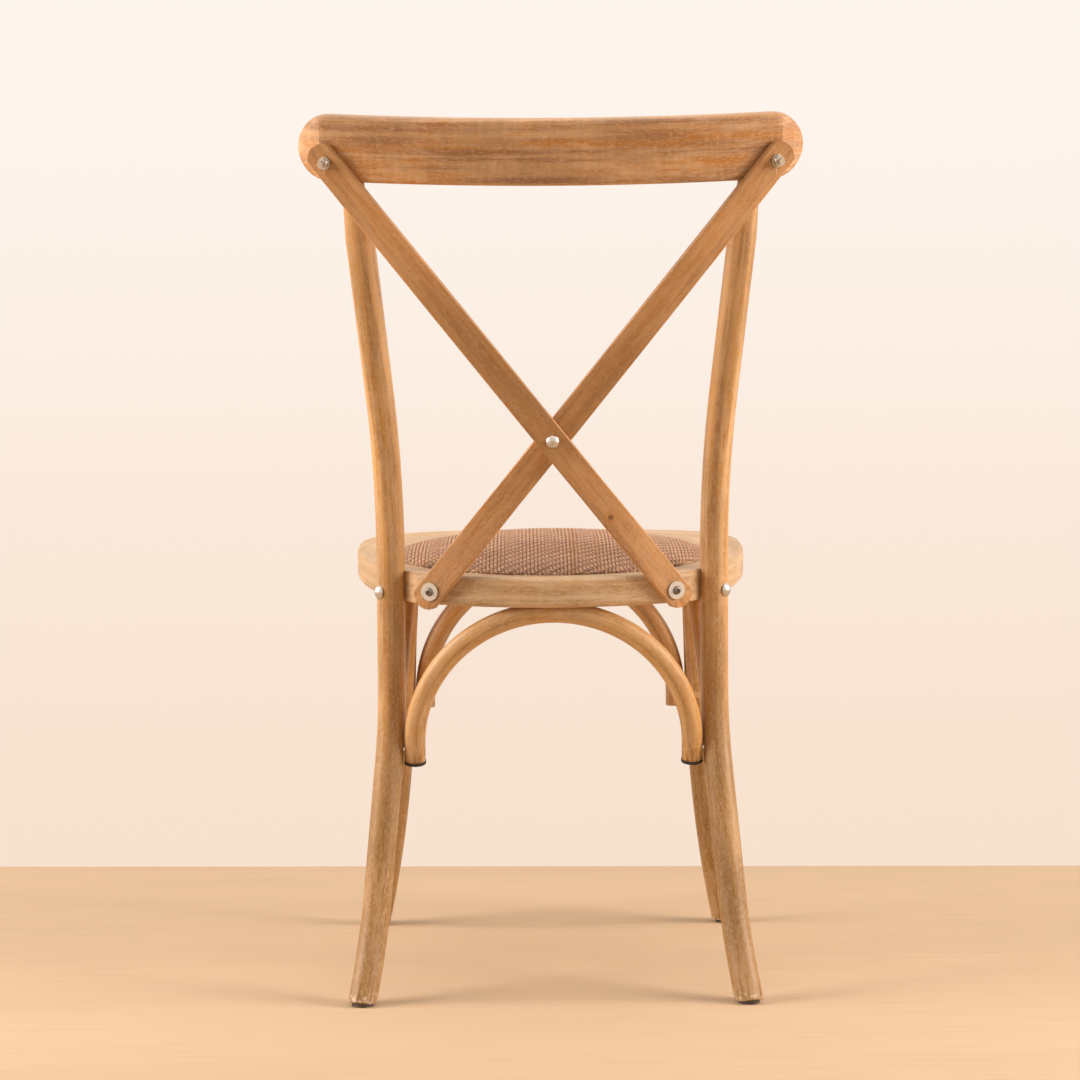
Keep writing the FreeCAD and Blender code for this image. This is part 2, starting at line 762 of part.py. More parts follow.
class Strap:
    """A flat bent strap from one end of the crest rail down across to the seat ring."""

    def __init__(self, side, layer):
        self.side = side
        self.layer = layer
        self.half = val("strap_thickness") / 2
        self.seat = val("strap_gap") + self.half
        self.top, self.top_normal = self.top_rest()
        self.foot, self.foot_normal = self.foot_rest()
        self.share = abs(self.top.x) / (abs(self.top.x) + abs(self.foot.x))
        self.start_slope = self.resting_slope(self.top_normal)
        self.end_slope = self.resting_slope(self.foot_normal)
        self.bend = 0.0
        self.skew = 0.0
        self.shape_crossing()

    def resting_slope(self, normal):
        """The slope in Y at which the strap lies flat on a face with this normal."""
        run = self.foot - self.top
        return -(run.x * normal.x + run.z * normal.z) / normal.y

    def shape_crossing(self):
        """Bend the strap so that both straps lie parallel, face to face, where they cross."""
        c = self.share
        swell = (c * (1 - c)) ** 2
        swell_slope = 2 * c * (1 - c) * (1 - 2 * c)
        middle = world_y(-val("strap_cross_setback"))
        plain_bend = (middle - self.rest_curve(c)) / swell
        slope = self.rest_slope(c) + plain_bend * swell_slope
        fall = self.foot.z - self.top.z
        self.cross_normal = Vec(0, 1, -slope / fall).normalize()
        offset = self.layer * (self.half + val("strap_gap"))
        height = self.top.z + fall * c
        self.cross = Vec(0, middle, height) + self.cross_normal * offset
        self.bend = (middle + offset - self.rest_curve(c)) / swell
        self.skew = (plain_bend - self.bend) * swell_slope / swell

    def rest_curve(self, t):
        """Y of the curve that joins the two ends and lies flat on both."""
        return ((2 * t ** 3 - 3 * t ** 2 + 1) * self.top.y
                + (t ** 3 - 2 * t ** 2 + t) * self.start_slope
                + (3 * t ** 2 - 2 * t ** 3) * self.foot.y
                + (t ** 3 - t ** 2) * self.end_slope)

    def rest_slope(self, t):
        step = 1e-4
        return (self.rest_curve(t + step) - self.rest_curve(t - step)) / (2 * step)

    def top_rest(self):
        x = self.side * val("strap_top_spread") / 2
        normal = crest_normal(x)
        surface = crest_point(x, val("crest_thickness") / 2)
        slope = CREST_TURN.multVec(UP)
        height = val("crest_centre_height") - val("strap_top_drop")
        surface += slope * ((height - surface.z) / slope.z)
        return surface + normal * self.seat, normal

    def foot_rest(self):
        x = -self.side * val("strap_foot_spread") / 2
        rear = seat_radii()[0]
        angle = math.asin(x / rear)
        normal = RING_TURN.multVec(Vec(math.sin(angle), math.cos(angle), 0))
        depth = rear * (1 - math.cos(angle))
        surface = ring_point(x, depth, 0)
        surface += RING_UP * ((val("strap_foot_height") - surface.z) / RING_UP.z)
        return surface + normal * self.seat, normal

    def centre(self, t):
        """The strap's middle line: straight seen from behind, bowed seen from the side."""
        p = self.top + (self.foot - self.top) * t
        swell = (t * (1 - t)) ** 2
        y = self.rest_curve(t) + swell * (self.bend + self.skew * (t - self.share))
        return Vec(p.x, y, p.z)

    def frame(self, t):
        """Tangent, width direction and normal at a share of the strap's length."""
        step = 1e-4
        tangent = (self.centre(t + step) - self.centre(t - step)).normalize()
        c = self.share
        if t <= c:
            reach = t / c
            blend = reach * reach * (3 - 2 * reach)
            normal = self.top_normal * (1 - blend) + self.cross_normal * blend
        else:
            reach = (t - c) / (1 - c)
            blend = reach * reach * (3 - 2 * reach)
            normal = self.cross_normal * (1 - blend) + self.foot_normal * blend
        normal = (normal - tangent * normal.dot(tangent)).normalize()
        return tangent, tangent.cross(normal), normal

    def section(self, t, extend=0.0):
        """A rounded rectangle square to the strap, moved along it by extend."""
        tangent, across, normal = self.frame(t)
        centre = self.centre(t) + tangent * extend
        w = val("strap_width") / 2
        h = self.half
        r = val("strap_edge_radius")
        corner = r * (1 - math.sqrt(0.5))

        def at(a, b):
            return centre + across * a + normal * b

        edges = []
        for sa, sb in ((1, 1), (-1, 1), (-1, -1), (1, -1)):
            ends = [at(sa * w, sb * (h - r)), at(sa * (w - r), sb * h)]
            if sa * sb < 0:
                ends.reverse()
            mid = at(sa * (w - corner), sb * (h - corner))
            edges.append(Part.Arc(ends[0], mid, ends[1]).toShape())
            edges.append(ends[1])
        wire = []
        for i in range(0, 8, 2):
            wire.append(edges[i])
            following = edges[(i + 2) % 8]
            wire.append(Part.LineSegment(edges[i + 1], following.Vertexes[0].Point).toShape())
        return Part.Wire(wire)

    def end_tool(self, t, way):
        """What is left outside a strap's rounded end."""
        tangent, across, normal = self.frame(t)
        centre = self.centre(t)
        reach = val("strap_end_reach")
        radius = val("strap_end_radius")
        w = val("strap_width") / 2
        out = tangent * way
        drop = radius - math.sqrt(radius * radius - w * w)
        far = 3 * reach
        lift = normal * (-4 * self.half)
        start = centre + across * w + out * (reach - drop) + lift
        tip = centre + out * reach + lift
        end = centre - across * w + out * (reach - drop) + lift
        wide = across * w
        outline = Part.Wire([
            Part.Arc(start, tip, end).toShape(),
            Part.LineSegment(end, end - wide).toShape(),
            Part.LineSegment(end - wide, end - wide + out * far).toShape(),
            Part.LineSegment(end - wide + out * far, start + wide + out * far).toShape(),
            Part.LineSegment(start + wide + out * far, start + wide).toShape(),
            Part.LineSegment(start + wide, start).toShape(),
        ])
        return Part.Face(outline).extrude(normal * (8 * self.half))

    def shape(self):
        reach = val("strap_end_reach") + 2
        stations = [self.section(0.0, -reach), self.section(0.0, -reach / 2)]
        count = 16
        stations += [self.section(i / count) for i in range(count + 1)]
        stations += [self.section(1.0, reach / 2), self.section(1.0, reach)]
        solid = Part.makeLoft(stations, True, False)
        return solid.cut(self.end_tool(0.0, -1)).cut(self.end_tool(1.0, 1))


outer_strap = Strap(1, 1)
inner_strap = Strap(-1, -1)


def strap_feature(name, strap):
    feature = doc.addObject("Part::Feature", name)
    feature.Shape = strap.shape()
    return feature


# Fasteners. Each is made once per place, and a bore of its own size is kept for what it passes.

bores = {}


def add_bore(target, name, radius, length, base, axis):
    """Keep a clearance hole for a named part."""
    hole = cylinder(name, f"({radius}) + Sizes.hole_clearance", length, base, axis)
    bores.setdefault(target, []).append(hole)


def hex_recess(name, base, axis):
    """A hexagonal key recess that opens along the axis at the base."""
    start = base - axis * val("socket_depth")
    return prism(name, "Sizes.socket_width", "Sizes.socket_depth + 1", start, axis)


def dome(name, diameter, height, base, axis):
    """A low domed head that stands on the base."""
    ball = doc.addObject("Part::Sphere", name)
    ball.setExpression("Radius", f"(({diameter}) ^ 2 / 4 + ({height}) ^ 2) / (2 * ({height}))")
    ball.setExpression("Angle1", f"90 deg - 2 * atan(2 * ({height}) / ({diameter}))")
    ball.Angle2 = 90
    width = plain(diameter)
    rise = plain(height)
    radius = (width * width / 4 + rise * rise) / (2 * rise)
    ball.Placement = Place(base - axis * (radius - rise), Rot(UP, axis))
    return ball


def plain(expression):
    """The number behind a single named size."""
    return val(expression.replace("Sizes.", ""))


def wood_screw(name, length, head_base, axis):
    """A raised head on a straight shank that runs back along the axis."""
    shank = cylinder(name + "_shank", "Sizes.screw_diameter / 2", f"{length} + 0.4",
                     head_base - axis * plain(length), axis)
    head = dome(name + "_head", "Sizes.screw_head_diameter", "Sizes.screw_head_height",
                head_base, axis)
    body = fuse(name + "_body", [shank, head])
    tip = head_base + axis * val("screw_head_height")
    return cut(name, body, [hex_recess(name + "_key", tip, axis)])


def washer(name, diameter, hole, base, axis):
    disc = cylinder(name + "_disc", f"{diameter} / 2", "Sizes.washer_thickness", base, axis)
    eye = cylinder(name + "_eye", f"{hole} / 2 + Sizes.hole_clearance",
                   "Sizes.washer_thickness + 2", base - axis, axis)
    return cut(name, disc, [eye])


def hex_nut(name, base, axis):
    blank = prism(name + "_blank", "Sizes.nut_width", "Sizes.nut_height", base, axis)
    eye = cylinder(name + "_eye", "Sizes.bolt_diameter / 2 + Sizes.hole_clearance",
                   "Sizes.nut_height + 2", base - axis, axis)
    bevel = cone(name + "_bevel", "Sizes.nut_width * 0.72", "Sizes.nut_width * 0.5",
                 "Sizes.nut_height", base, axis)
    both = doc.addObject("Part::Common", name + "_chamfered")
    both.Base = blank
    both.Tool = bevel
    return cut(name, both, [eye])


def crest_bolts():
    """Bolts through the rail's ends and the straps, with washers and nuts behind."""
    bolts, washers, nuts = [], [], []
    for name, strap in (("left", outer_strap), ("right", inner_strap)):
        axis = strap.top_normal
        rear = strap.top + axis * (strap.half + val("contact_gap"))
        through = val("crest_thickness") + val("strap_thickness") + val("strap_gap")
        front = rear - axis * (through + 2 * val("contact_gap"))
        over = val("washer_thickness") + val("nut_height") + 2 * val("contact_gap")
        shank = cylinder(f"crest_bolt_shank_{name}", "Sizes.bolt_diameter / 2",
                         "Sizes.crest_thickness + Sizes.strap_thickness + Sizes.washer_thickness"
                         " + Sizes.nut_height + Sizes.bolt_tip + 2 * Sizes.strap_gap",
                         front, axis)
        head = dome(f"crest_bolt_head_{name}", "Sizes.cap_diameter", "Sizes.cap_height",
                    front, axis * -1)
        body = fuse(f"crest_bolt_body_{name}", [shank, head])
        tip = front - axis * val("cap_height")
        bolts.append(cut(f"crest_bolt_{name}", body,
                         [hex_recess(f"crest_bolt_key_{name}", tip, axis * -1)]))
        washers.append(washer(f"crest_washer_{name}", "Sizes.small_washer_diameter",
                              "Sizes.bolt_diameter", rear, axis))
        nut_base = rear + axis * (val("washer_thickness") + val("contact_gap"))
        nuts.append(hex_nut(f"crest_nut_{name}", nut_base, axis))
        length = through + over
        for target in ("crest_rail", strap_name(strap)):
            add_bore(target, f"crest_bore_{name}_{target}", "Sizes.bolt_diameter / 2",
                     f"{length + 8}", front - axis * 4, axis)
    finish(group("crest_bolts_group", bolts), "crest_bolts")
    finish(group("crest_washers_group", washers), "crest_washers")
    finish(group("crest_nuts_group", nuts), "crest_nuts")


def strap_name(strap):
    return "back_strap_outer" if strap.layer > 0 else "back_strap_inner"


def crossing_bolt():
    """The barrel bolt and sleeve that pin the straps where they cross."""
    axis = outer_strap.cross_normal
    rear = outer_strap.cross + axis * (outer_strap.half + val("contact_gap"))
    front = inner_strap.cross - axis * (inner_strap.half + val("contact_gap"))
    shank = cylinder("cross_bolt_shank", "Sizes.bolt_diameter / 2", "Sizes.barrel_length + 2",
                     rear - axis * (val("barrel_length") + 2), axis)
    head = dome("cross_bolt_head", "Sizes.cap_diameter", "Sizes.cap_height", rear, axis)
    body = fuse("cross_bolt_body", [shank, head])
    tip = rear + axis * val("cap_height")
    finish(cut("cross_bolt_cut", body, [hex_recess("cross_bolt_key", tip, axis)]), "cross_bolt")
    sleeve = cylinder("cross_sleeve_barrel", "Sizes.barrel_diameter / 2", "Sizes.barrel_length",
                      front, axis)
    cap = dome("cross_sleeve_cap", "Sizes.cap_diameter", "Sizes.cap_height", front, axis * -1)
    thread = cylinder("cross_sleeve_thread", "Sizes.bolt_diameter / 2 + Sizes.hole_clearance",
                      "Sizes.barrel_length + 1", front + axis, axis)
    finish(cut("cross_sleeve_cut", fuse("cross_sleeve_body", [sleeve, cap]), [thread]),
           "cross_bolt_sleeve")
    for strap in (outer_strap, inner_strap):
        add_bore(strap_name(strap), f"cross_bore_{strap_name(strap)}", "Sizes.barrel_diameter / 2",
                 "6 * Sizes.strap_thickness", front - axis * 2 * val("strap_thickness"), axis)


def strap_foot_screws():
    screws, washers = [], []
    for name, strap in (("left", inner_strap), ("right", outer_strap)):
        axis = strap.foot_normal
        face = strap.foot + axis * (strap.half + val("contact_gap"))
        head = face + axis * (val("washer_thickness") + val("contact_gap"))
        washers.append(washer(f"strap_washer_{name}", "Sizes.washer_diameter",
                              "Sizes.screw_diameter", face, axis))
        screws.append(wood_screw(f"strap_screw_{name}", "Sizes.strap_screw_length", head, axis))
        for target in ("seat_ring", strap_name(strap)):
            add_bore(target, f"strap_bore_{name}_{target}", "Sizes.screw_diameter / 2",
                     "Sizes.strap_screw_length + 6",
                     head - axis * (val("strap_screw_length") + 1), axis)
    finish(group("strap_screws_group", screws), "strap_screws")
    finish(group("strap_washers_group", washers), "strap_washers")


def rear_leg_bolts():
    """Dome headed bolts from outside each rear leg through the seat ring."""
    bolts, washers, nuts = [], [], []
    height = val("leg_bolt_height")
    for name, side in SIDES.items():
        axis = notch_way(side)
        leg = rear_legs[name].seat_xy
        outside = leg + axis * (val("leg_diameter") / 2 - val("contact_gap"))
        outside.z = height
        middle = Vec(0, world_y(val("opening_depth")), height)
        inner = inner_wall(outside, axis * -1, middle, val("opening_radius"))
        length = (outside - inner).Length + val("washer_thickness") + val("nut_height")
        length += val("bolt_tip") + 3 * val("contact_gap")
        start = outside - axis * length
        shank = cylinder(f"leg_bolt_shank_{name}", "Sizes.bolt_diameter / 2", f"{length + 0.4}",
                         start, axis)
        head = dome(f"leg_bolt_head_{name}", "Sizes.carriage_head_diameter",
                    "Sizes.carriage_head_height", outside, axis)
        bolts.append(fuse(f"leg_bolt_{name}", [shank, head]))
        seat = inner - axis * (val("washer_thickness") + val("contact_gap"))
        washers.append(washer(f"leg_washer_{name}", "Sizes.small_washer_diameter",
                              "Sizes.bolt_diameter", seat, axis))
        nut_base = seat - axis * (val("nut_height") + val("contact_gap"))
        nuts.append(hex_nut(f"leg_nut_{name}", nut_base, axis))
        for target in (f"rear_leg_{name}", "seat_ring"):
            add_bore(target, f"leg_bore_{name}_{target}", "Sizes.bolt_diameter / 2",
                     f"{length + 12}", start - axis * 6, axis)
        spot = cylinder(f"leg_spotface_{name}", "Sizes.small_washer_diameter / 2 + 1", "12",
                        inner - axis * 12, axis)
        bores.setdefault("seat_ring", []).append(spot)
        flat = cylinder(f"leg_head_seat_{name}", "Sizes.carriage_head_diameter / 2 + 0.3", "8",
                        outside, axis)
        bores.setdefault(f"rear_leg_{name}", []).append(flat)
    finish(group("leg_bolts_group", bolts), "rear_leg_bolts")
    finish(group("leg_washers_group", washers), "rear_leg_washers")
    finish(group("leg_nuts_group", nuts), "rear_leg_nuts")


def inner_wall(start, way, middle, radius):
    """Where a level line from start meets the near wall of an upright round opening."""
    gap = start - middle
    along = gap.dot(way)
    root = math.sqrt(along * along - (gap.dot(gap) - radius * radius))
    return start + way * (-along - root)


def seat_screws():
    """Screws up through the ring's lip into the seat panel."""
    screws = []
    lip = val("ring_thickness") - val("rebate_depth")
    for number, bearing in enumerate((45, 135, 225, 315), start=1):
        x = val("panel_screw_radius") * cos(bearing)
        depth = val("opening_depth") + val("panel_screw_radius") * sin(bearing)
        base = ring_point(x, depth, 0)
        shank = cylinder(f"panel_screw_shank_{number}", "Sizes.panel_screw_diameter / 2",
                         "Sizes.panel_screw_length", base, RING_UP)
        head = dome(f"panel_screw_head_{number}", "Sizes.panel_screw_diameter",
                    "Sizes.screw_head_height", base, RING_UP * -1)
        pan = cylinder(f"panel_screw_pan_{number}", "Sizes.panel_screw_diameter", "1",
                       base - RING_UP, RING_UP)
        screws.append(fuse(f"panel_screw_{number}", [shank, pan, head]))
        for target in ("seat_ring", "seat_panel"):
            add_bore(target, f"panel_bore_{number}_{target}", "Sizes.panel_screw_diameter / 2",
                     f"{lip + val('panel_thickness')}", base, RING_UP)
    finish(group("panel_screws_group", screws), "seat_panel_screws")


# Arches under the seat

class Arch:
    """A round rod bent to a half circle with short straight ends."""

    def __init__(self, name, end_one, end_two, crown):
        """The ends are where the rod stops; the crown is its centre at the top."""
        self.name = name
        self.middle = (end_one + end_two) * 0.5
        self.radius = (end_two - end_one).Length / 2
        self.across = (end_two - end_one).normalize()
        upright = crown - self.middle
        upright -= self.across * upright.dot(self.across)
        self.run = upright.Length - self.radius
        self.rise = upright.normalize()
        self.top = self.middle + self.rise * (self.radius + self.run)
        facing = self.across.cross(self.rise)
        self.turn = Rot(self.across, facing * -1, self.rise, "XYZ")
        self.placement = Place(self.middle, self.turn)
        self.ends = {"one": end_one, "two": end_two}

    def rod(self):
        radius = self.radius
        rise = self.run
        sketch = doc.addObject("Sketcher::SketchObject", self.name + "_path")
        sketch.Placement = self.placement.multiply(Place(Vec(), Rot(Vec(1, 0, 0), 90)))
        sketch.addGeometry(Part.LineSegment(Vec(-radius, 0, 0), Vec(-radius, rise, 0)), False)
        sketch.addGeometry(Part.Arc(Vec(-radius, rise, 0), Vec(0, rise + radius, 0),
                                    Vec(radius, rise, 0)), False)
        sketch.addGeometry(Part.LineSegment(Vec(radius, rise, 0), Vec(radius, 0, 0)), False)
        start = self.middle - self.across * radius
        return sweep(self.name + "_rod", sketch, "arch_diameter", start, self.rise)


def under_seat_tool(name):
    """The space above the ring's underside, which trims what is housed against it."""
    tool = doc.addObject("Part::Box", name)
    tool.setExpression("Length", "2 * Sizes.seat_width")
    tool.setExpression("Width", "2 * Sizes.seat_depth")
    tool.setExpression("Height", "4 * Sizes.ring_thickness")
    base = ring_point(-val("seat_width"), 1.5 * val("seat_depth"), -val("contact_gap"))
    tool.Placement = Place(base, RING_TURN)
    return tool


# Height above its end at which an arch's rod touches its leg
ARCH_CONTACT = 12.0


def arch_half_rod():
    return val("arch_diameter") / 2 + val("arch_gap")


def crown_point(x, depth):
    """The centre of an arch's rod where it is housed against the ring's underside."""
    height = underside_height(depth) + val("arch_housing") - val("arch_diameter") / 2
    return Vec(x, world_y(depth), height)


def cross_arch(name, legs, height, crown_depth):
    """An arch between a pair of legs, its ends against their inner faces."""
    left = legs["left"].at_height(height + ARCH_CONTACT)
    reach = left.x - val("leg_diameter") / 2 - arch_half_rod()
    ends = [Vec(side * reach, left.y, height) for side in (-1, 1)]
    if crown_depth is None:
        crown_depth = val("origin_depth") - left.y
    return Arch(name, ends[0], ends[1], crown_point(0, crown_depth))


def side_arch(name, side):
    """An arch from a rear leg's front face to a front leg's rear face."""
    height = val("side_arch_end_height")
    rear = rear_legs[name].at_height(height + 2 * ARCH_CONTACT)
    front = front_legs[name].at_height(height + 2 * ARCH_CONTACT)
    away = val("leg_diameter") / 2 + arch_half_rod()
    x = 0.5 * (rear.x + front.x)
    end_rear = Vec(x, rear.y - away, height)
    end_front = Vec(x, front.y + away, height)
    depth = val("origin_depth") - 0.5 * (end_rear.y + end_front.y)
    crown = crown_point(side * val("side_arch_top_spread") / 2, depth)
    return Arch("side_arch_" + name, end_rear, end_front, crown)


def arches():
    made = {
        "rear_arch": cross_arch("rear_arch", rear_legs, val("rear_arch_end_height"),
                                val("rear_arch_top_depth")),
        "front_arch": cross_arch("front_arch", front_legs, val("front_arch_end_height"), None),
        "side_arch_left": side_arch("left", 1),
        "side_arch_right": side_arch("right", -1),
    }
    return made


def sunk_screw(name, rod, targets, face, axis):
    """A screw driven from the rod's face against the axis, its head under a wooden plug."""
    seat = face - axis * val("plug_depth")
    screw = wood_screw(name, "Sizes.arch_screw_length", seat, axis)
    lid = val("screw_head_height") + val("contact_gap")
    blank = cylinder(name + "_plug_blank", "Sizes.plug_diameter / 2", "Sizes.plug_depth",
                     seat + axis * lid, axis)
    plug = doc.addObject("Part::Common", name + "_plug")
    plug.Base = blank
    plug.Tool = rod
    for target in targets:
        add_bore(target, f"{name}_bore_{target}", "Sizes.screw_diameter / 2",
                 "Sizes.arch_screw_length + 1", seat - axis * val("arch_screw_length"), axis)
    add_bore(targets[0], f"{name}_sink", "Sizes.plug_diameter / 2", "2 * Sizes.plug_depth",
             seat, axis)
    return screw, plug


def shape_arches(made):
    top_screws, end_screws, plugs, pads = [], [], [], []
    radius = val("arch_diameter") / 2
    for name, arch in made.items():
        rod = arch.rod()
        under = arch.top - arch.rise * radius
        screw, plug = sunk_screw(f"{name}_top_screw", rod, (name, "seat_ring"), under,
                                 arch.rise * -1)
        top_screws.append(screw)
        plugs.append(plug)
        for tag, way, leg in arch_ends(name, arch):
            face = arch.ends[tag] + arch.rise * ARCH_CONTACT - way * radius
            screw, plug = sunk_screw(f"{name}_end_screw_{tag}", rod, (name, leg), face, way * -1)
            end_screws.append(screw)
            plugs.append(plug)
        tools = [under_seat_tool(name + "_trim")] + bores[name]
        finish(cut(name + "_cut", rod, tools), name)
    for tag, end in made["rear_arch"].ends.items():
        rise = made["rear_arch"].rise
        base = end - rise * (val("arch_pad_thickness") + val("contact_gap"))
        pads.append(cylinder(f"arch_pad_{tag}", "Sizes.arch_diameter / 2 + Sizes.arch_pad_lip",
                             "Sizes.arch_pad_thickness", base, rise))
    finish(group("arch_pads_group", pads), "rear_arch_pads")
    finish(group("arch_top_screws_group", top_screws), "arch_top_screws")
    finish(group("arch_end_screws_group", end_screws), "arch_end_screws")
    finish(group("arch_plugs_group", plugs), "arch_plugs")


def arch_ends(name, arch):
    """For each end: its tag, the way into the leg, and the leg's name."""
    found = []
    for tag, sign in (("one", -1), ("two", 1)):
        way = arch.across * sign
        if name.startswith("side_arch"):
            which = "rear_leg_" if tag == "one" else "front_leg_"
            leg = which + name.split("_")[-1]
        else:
            leg = name.split("_")[0] + "_leg_" + ("left" if way.x > 0 else "right")
        found.append((tag, way, leg))
    return found


# Seat panel, padding and woven cover, all turned about the middle of the opening

def turned(name, profile):
    """A solid of revolution about the seat's own upright axis."""
    body = doc.addObject("PartDesign::Body", name)
    sketch = body_sketch(body, name + "Profile", "XZ_Plane")
    for piece in profile:
        sketch.addGeometry(piece, False)
    spin = body.newObject("PartDesign::Revolution", name + "Turn")
    spin.Profile = sketch
    spin.ReferenceAxis = (sketch, ["V_Axis"])
    spin.Angle = 360
    centre = ring_point(0, val("opening_depth"), 0)
    body.Placement = Place(centre, RING_TURN)
    return body


def crown_curve(drop):
    """The crown's rolled edge and top as two arcs that meet smoothly, moved inwards by drop."""
    top = val("ring_thickness")
    outer = val("rebate_radius") - val("soft_gap") - drop
    rim = Vec(outer, top + val("weave_rim_height") - drop / 2, 0)
    shoulder = Vec(outer - val("shoulder_width") + drop, top + val("shoulder_height") - drop, 0)
    centre = Vec(val("crown_flat"), top + val("crown_height") - drop, 0)
    rise = centre.y - shoulder.y
    middle = Vec(0.5 * (shoulder.x + centre.x), shoulder.y + 0.75 * rise, 0)
    crown_fall = math.atan2(2 * rise, shoulder.x - centre.x)
    edge_fall = math.atan2(shoulder.y - rim.y, rim.x - shoulder.x)
    bulge = 0.5 * (rim - shoulder).Length * math.tan(0.5 * (edge_fall - crown_fall))
    outwards = Vec(math.sin(edge_fall), math.cos(edge_fall), 0)
    edge_middle = (rim + shoulder) * 0.5 + outwards * bulge
    return rim, edge_middle, shoulder, middle, centre


def segments(points):
    return [Part.LineSegment(a, b) for a, b in zip(points[:-1], points[1:])]


def make_seat():
    floor = val("ring_thickness") - val("rebate_depth")
    gap = val("soft_gap")
    thick = val("weave_thickness")
    rest = floor + val("contact_gap")
    panel_top = rest + val("panel_thickness")
    panel_edge = val("rebate_radius") - thick - 2.5 * gap
    rim, bulge, shoulder, middle, centre = crown_curve(0)
    panel = turned("SeatPanelBody", segments([
        Vec(0, rest, 0), Vec(panel_edge, rest, 0), Vec(panel_edge, panel_top, 0),
        Vec(0, panel_top, 0), Vec(0, rest, 0)]))
    inner = crown_curve(thick)
    weave = turned("SeatWeaveBody", [
        Part.LineSegment(Vec(rim.x, floor + gap, 0), rim),
        Part.Arc(rim, bulge, shoulder),
        Part.Arc(shoulder, middle, centre),
        Part.LineSegment(centre, Vec(0, centre.y, 0)),
        Part.LineSegment(Vec(0, centre.y, 0), Vec(0, inner[4].y, 0)),
        Part.LineSegment(Vec(0, inner[4].y, 0), inner[4]),
        Part.Arc(inner[4], inner[3], inner[2]),
        Part.Arc(inner[2], inner[1], inner[0]),
        Part.LineSegment(inner[0], Vec(inner[0].x, floor + gap, 0)),
        Part.LineSegment(Vec(inner[0].x, floor + gap, 0), Vec(rim.x, floor + gap, 0)),
    ])
    core = crown_curve(thick + gap)
    foam = turned("SeatFoamBody", [
        Part.LineSegment(Vec(0, panel_top + gap, 0), Vec(core[0].x, panel_top + gap, 0)),
        Part.LineSegment(Vec(core[0].x, panel_top + gap, 0), core[0]),
        Part.Arc(core[0], core[1], core[2]),
        Part.Arc(core[2], core[3], core[4]),
        Part.LineSegment(core[4], Vec(0, core[4].y, 0)),
        Part.LineSegment(Vec(0, core[4].y, 0), Vec(0, panel_top + gap, 0)),
    ])
    finish(cut("seat_panel_cut", panel, bores["seat_panel"]), "seat_panel")
    finish(foam, "seat_foam")
    finish(weave, "seat_weave")


# Glides

def make_glides():
    pads, nails = [], []
    legs = [("rear_leg_" + n, leg) for n, leg in rear_legs.items()]
    legs += [("front_leg_" + n, leg) for n, leg in front_legs.items()]
    lift = val("glide_thickness")
    for name, leg in legs:
        foot = leg.at_height(lift)
        base = Vec(foot.x, foot.y, 0)
        disc = cylinder(name + "_glide_disc", "Sizes.glide_diameter / 2",
                        "Sizes.glide_thickness - Sizes.contact_gap", base, UP)
        recess = cylinder(name + "_glide_recess", "Sizes.glide_nail_diameter + 0.3",
                          "1.8", base - UP * 0.5, UP)
        eye = cylinder(name + "_glide_eye", "Sizes.glide_nail_diameter / 2 + Sizes.hole_clearance",
                       "Sizes.glide_thickness + 1", base, UP)
        pads.append(cut(name + "_glide", disc, [recess, eye]))
        shank = cylinder(name + "_nail_shank", "Sizes.glide_nail_diameter / 2",
                         "Sizes.glide_nail_length", base + UP * 1.1, UP)
        head = cylinder(name + "_nail_head", "Sizes.glide_nail_diameter", "0.6",
                        base + UP * 0.35, UP)
        nails.append(fuse(name + "_nail", [shank, cone(
            name + "_nail_neck", "Sizes.glide_nail_diameter", "Sizes.glide_nail_diameter / 2",
            "0.3", base + UP * 0.9, UP), head]))
        add_bore(name, name + "_nail_bore", "Sizes.glide_nail_diameter / 2",
                 "Sizes.glide_nail_length", base + UP * 1.2, UP)
    finish(group("glides_group", pads), "leg_glides")
    finish(group("glide_nails_group", nails), "glide_nails")


# Legs, cut to length at floor, seat and rail

def floor_tool(name):
    tool = doc.addObject("Part::Box", name)
    tool.setExpression("Length", "3 * Sizes.seat_width")
    tool.setExpression("Width", "3 * Sizes.seat_depth")
    tool.Height = 60
    base = Vec(-1.5 * val("seat_width"), -1.5 * val("seat_depth"), val("glide_thickness") - 60)
    tool.Placement = Place(base, Rot())
    return tool


def over_crest_tool(name):
    """The space above the rail's underside, which squares off what stands below it."""
    tool = doc.addObject("Part::Box", name)
    tool.setExpression("Length", "2 * Sizes.crest_length")
    tool.setExpression("Width", "4 * Sizes.crest_height")
    tool.setExpression("Height", "3 * Sizes.crest_height")
    corner = Vec(-val("crest_length"), -2 * val("crest_height"), -val("contact_gap"))
    tool.Placement = crest_place().multiply(Place(corner, Rot()))
    return tool


def make_rear_legs():
    for name, side in SIDES.items():
        leg = rear_legs[name]
        label = "rear_leg_" + name
        neck = cone(label + "_neck", "Sizes.leg_diameter / 2",
                    "Sizes.rear_top_diameter / 2", "2.2 * Sizes.leg_diameter",
                    leg.top, leg.top_way)
        rod = fuse(label + "_whole", [leg.rod, neck])
        trimmed = cut(label + "_trimmed", rod, [
            floor_tool(label + "_floor"), over_crest_tool(label + "_top"),
            flat_tool(label + "_flat", side)])
        meet = leg.top + leg.top_way * crest_gap(leg)
        start = meet - leg.top_way * 12
        tenon = cylinder(label + "_tenon", "Sizes.crest_tenon_diameter / 2",
                         "12 + Sizes.crest_tenon_length", start, leg.top_way)
        socket = cylinder(label + "_socket",
                          "Sizes.crest_tenon_diameter / 2 + Sizes.tenon_clearance",
                          "12 + Sizes.crest_tenon_length + Sizes.tenon_clearance",
                          start, leg.top_way)
        bores.setdefault("crest_rail", []).append(socket)
        joined = fuse(label + "_joined", [trimmed, tenon])
        finish(cut(label + "_cut", joined, bores[label]), label)


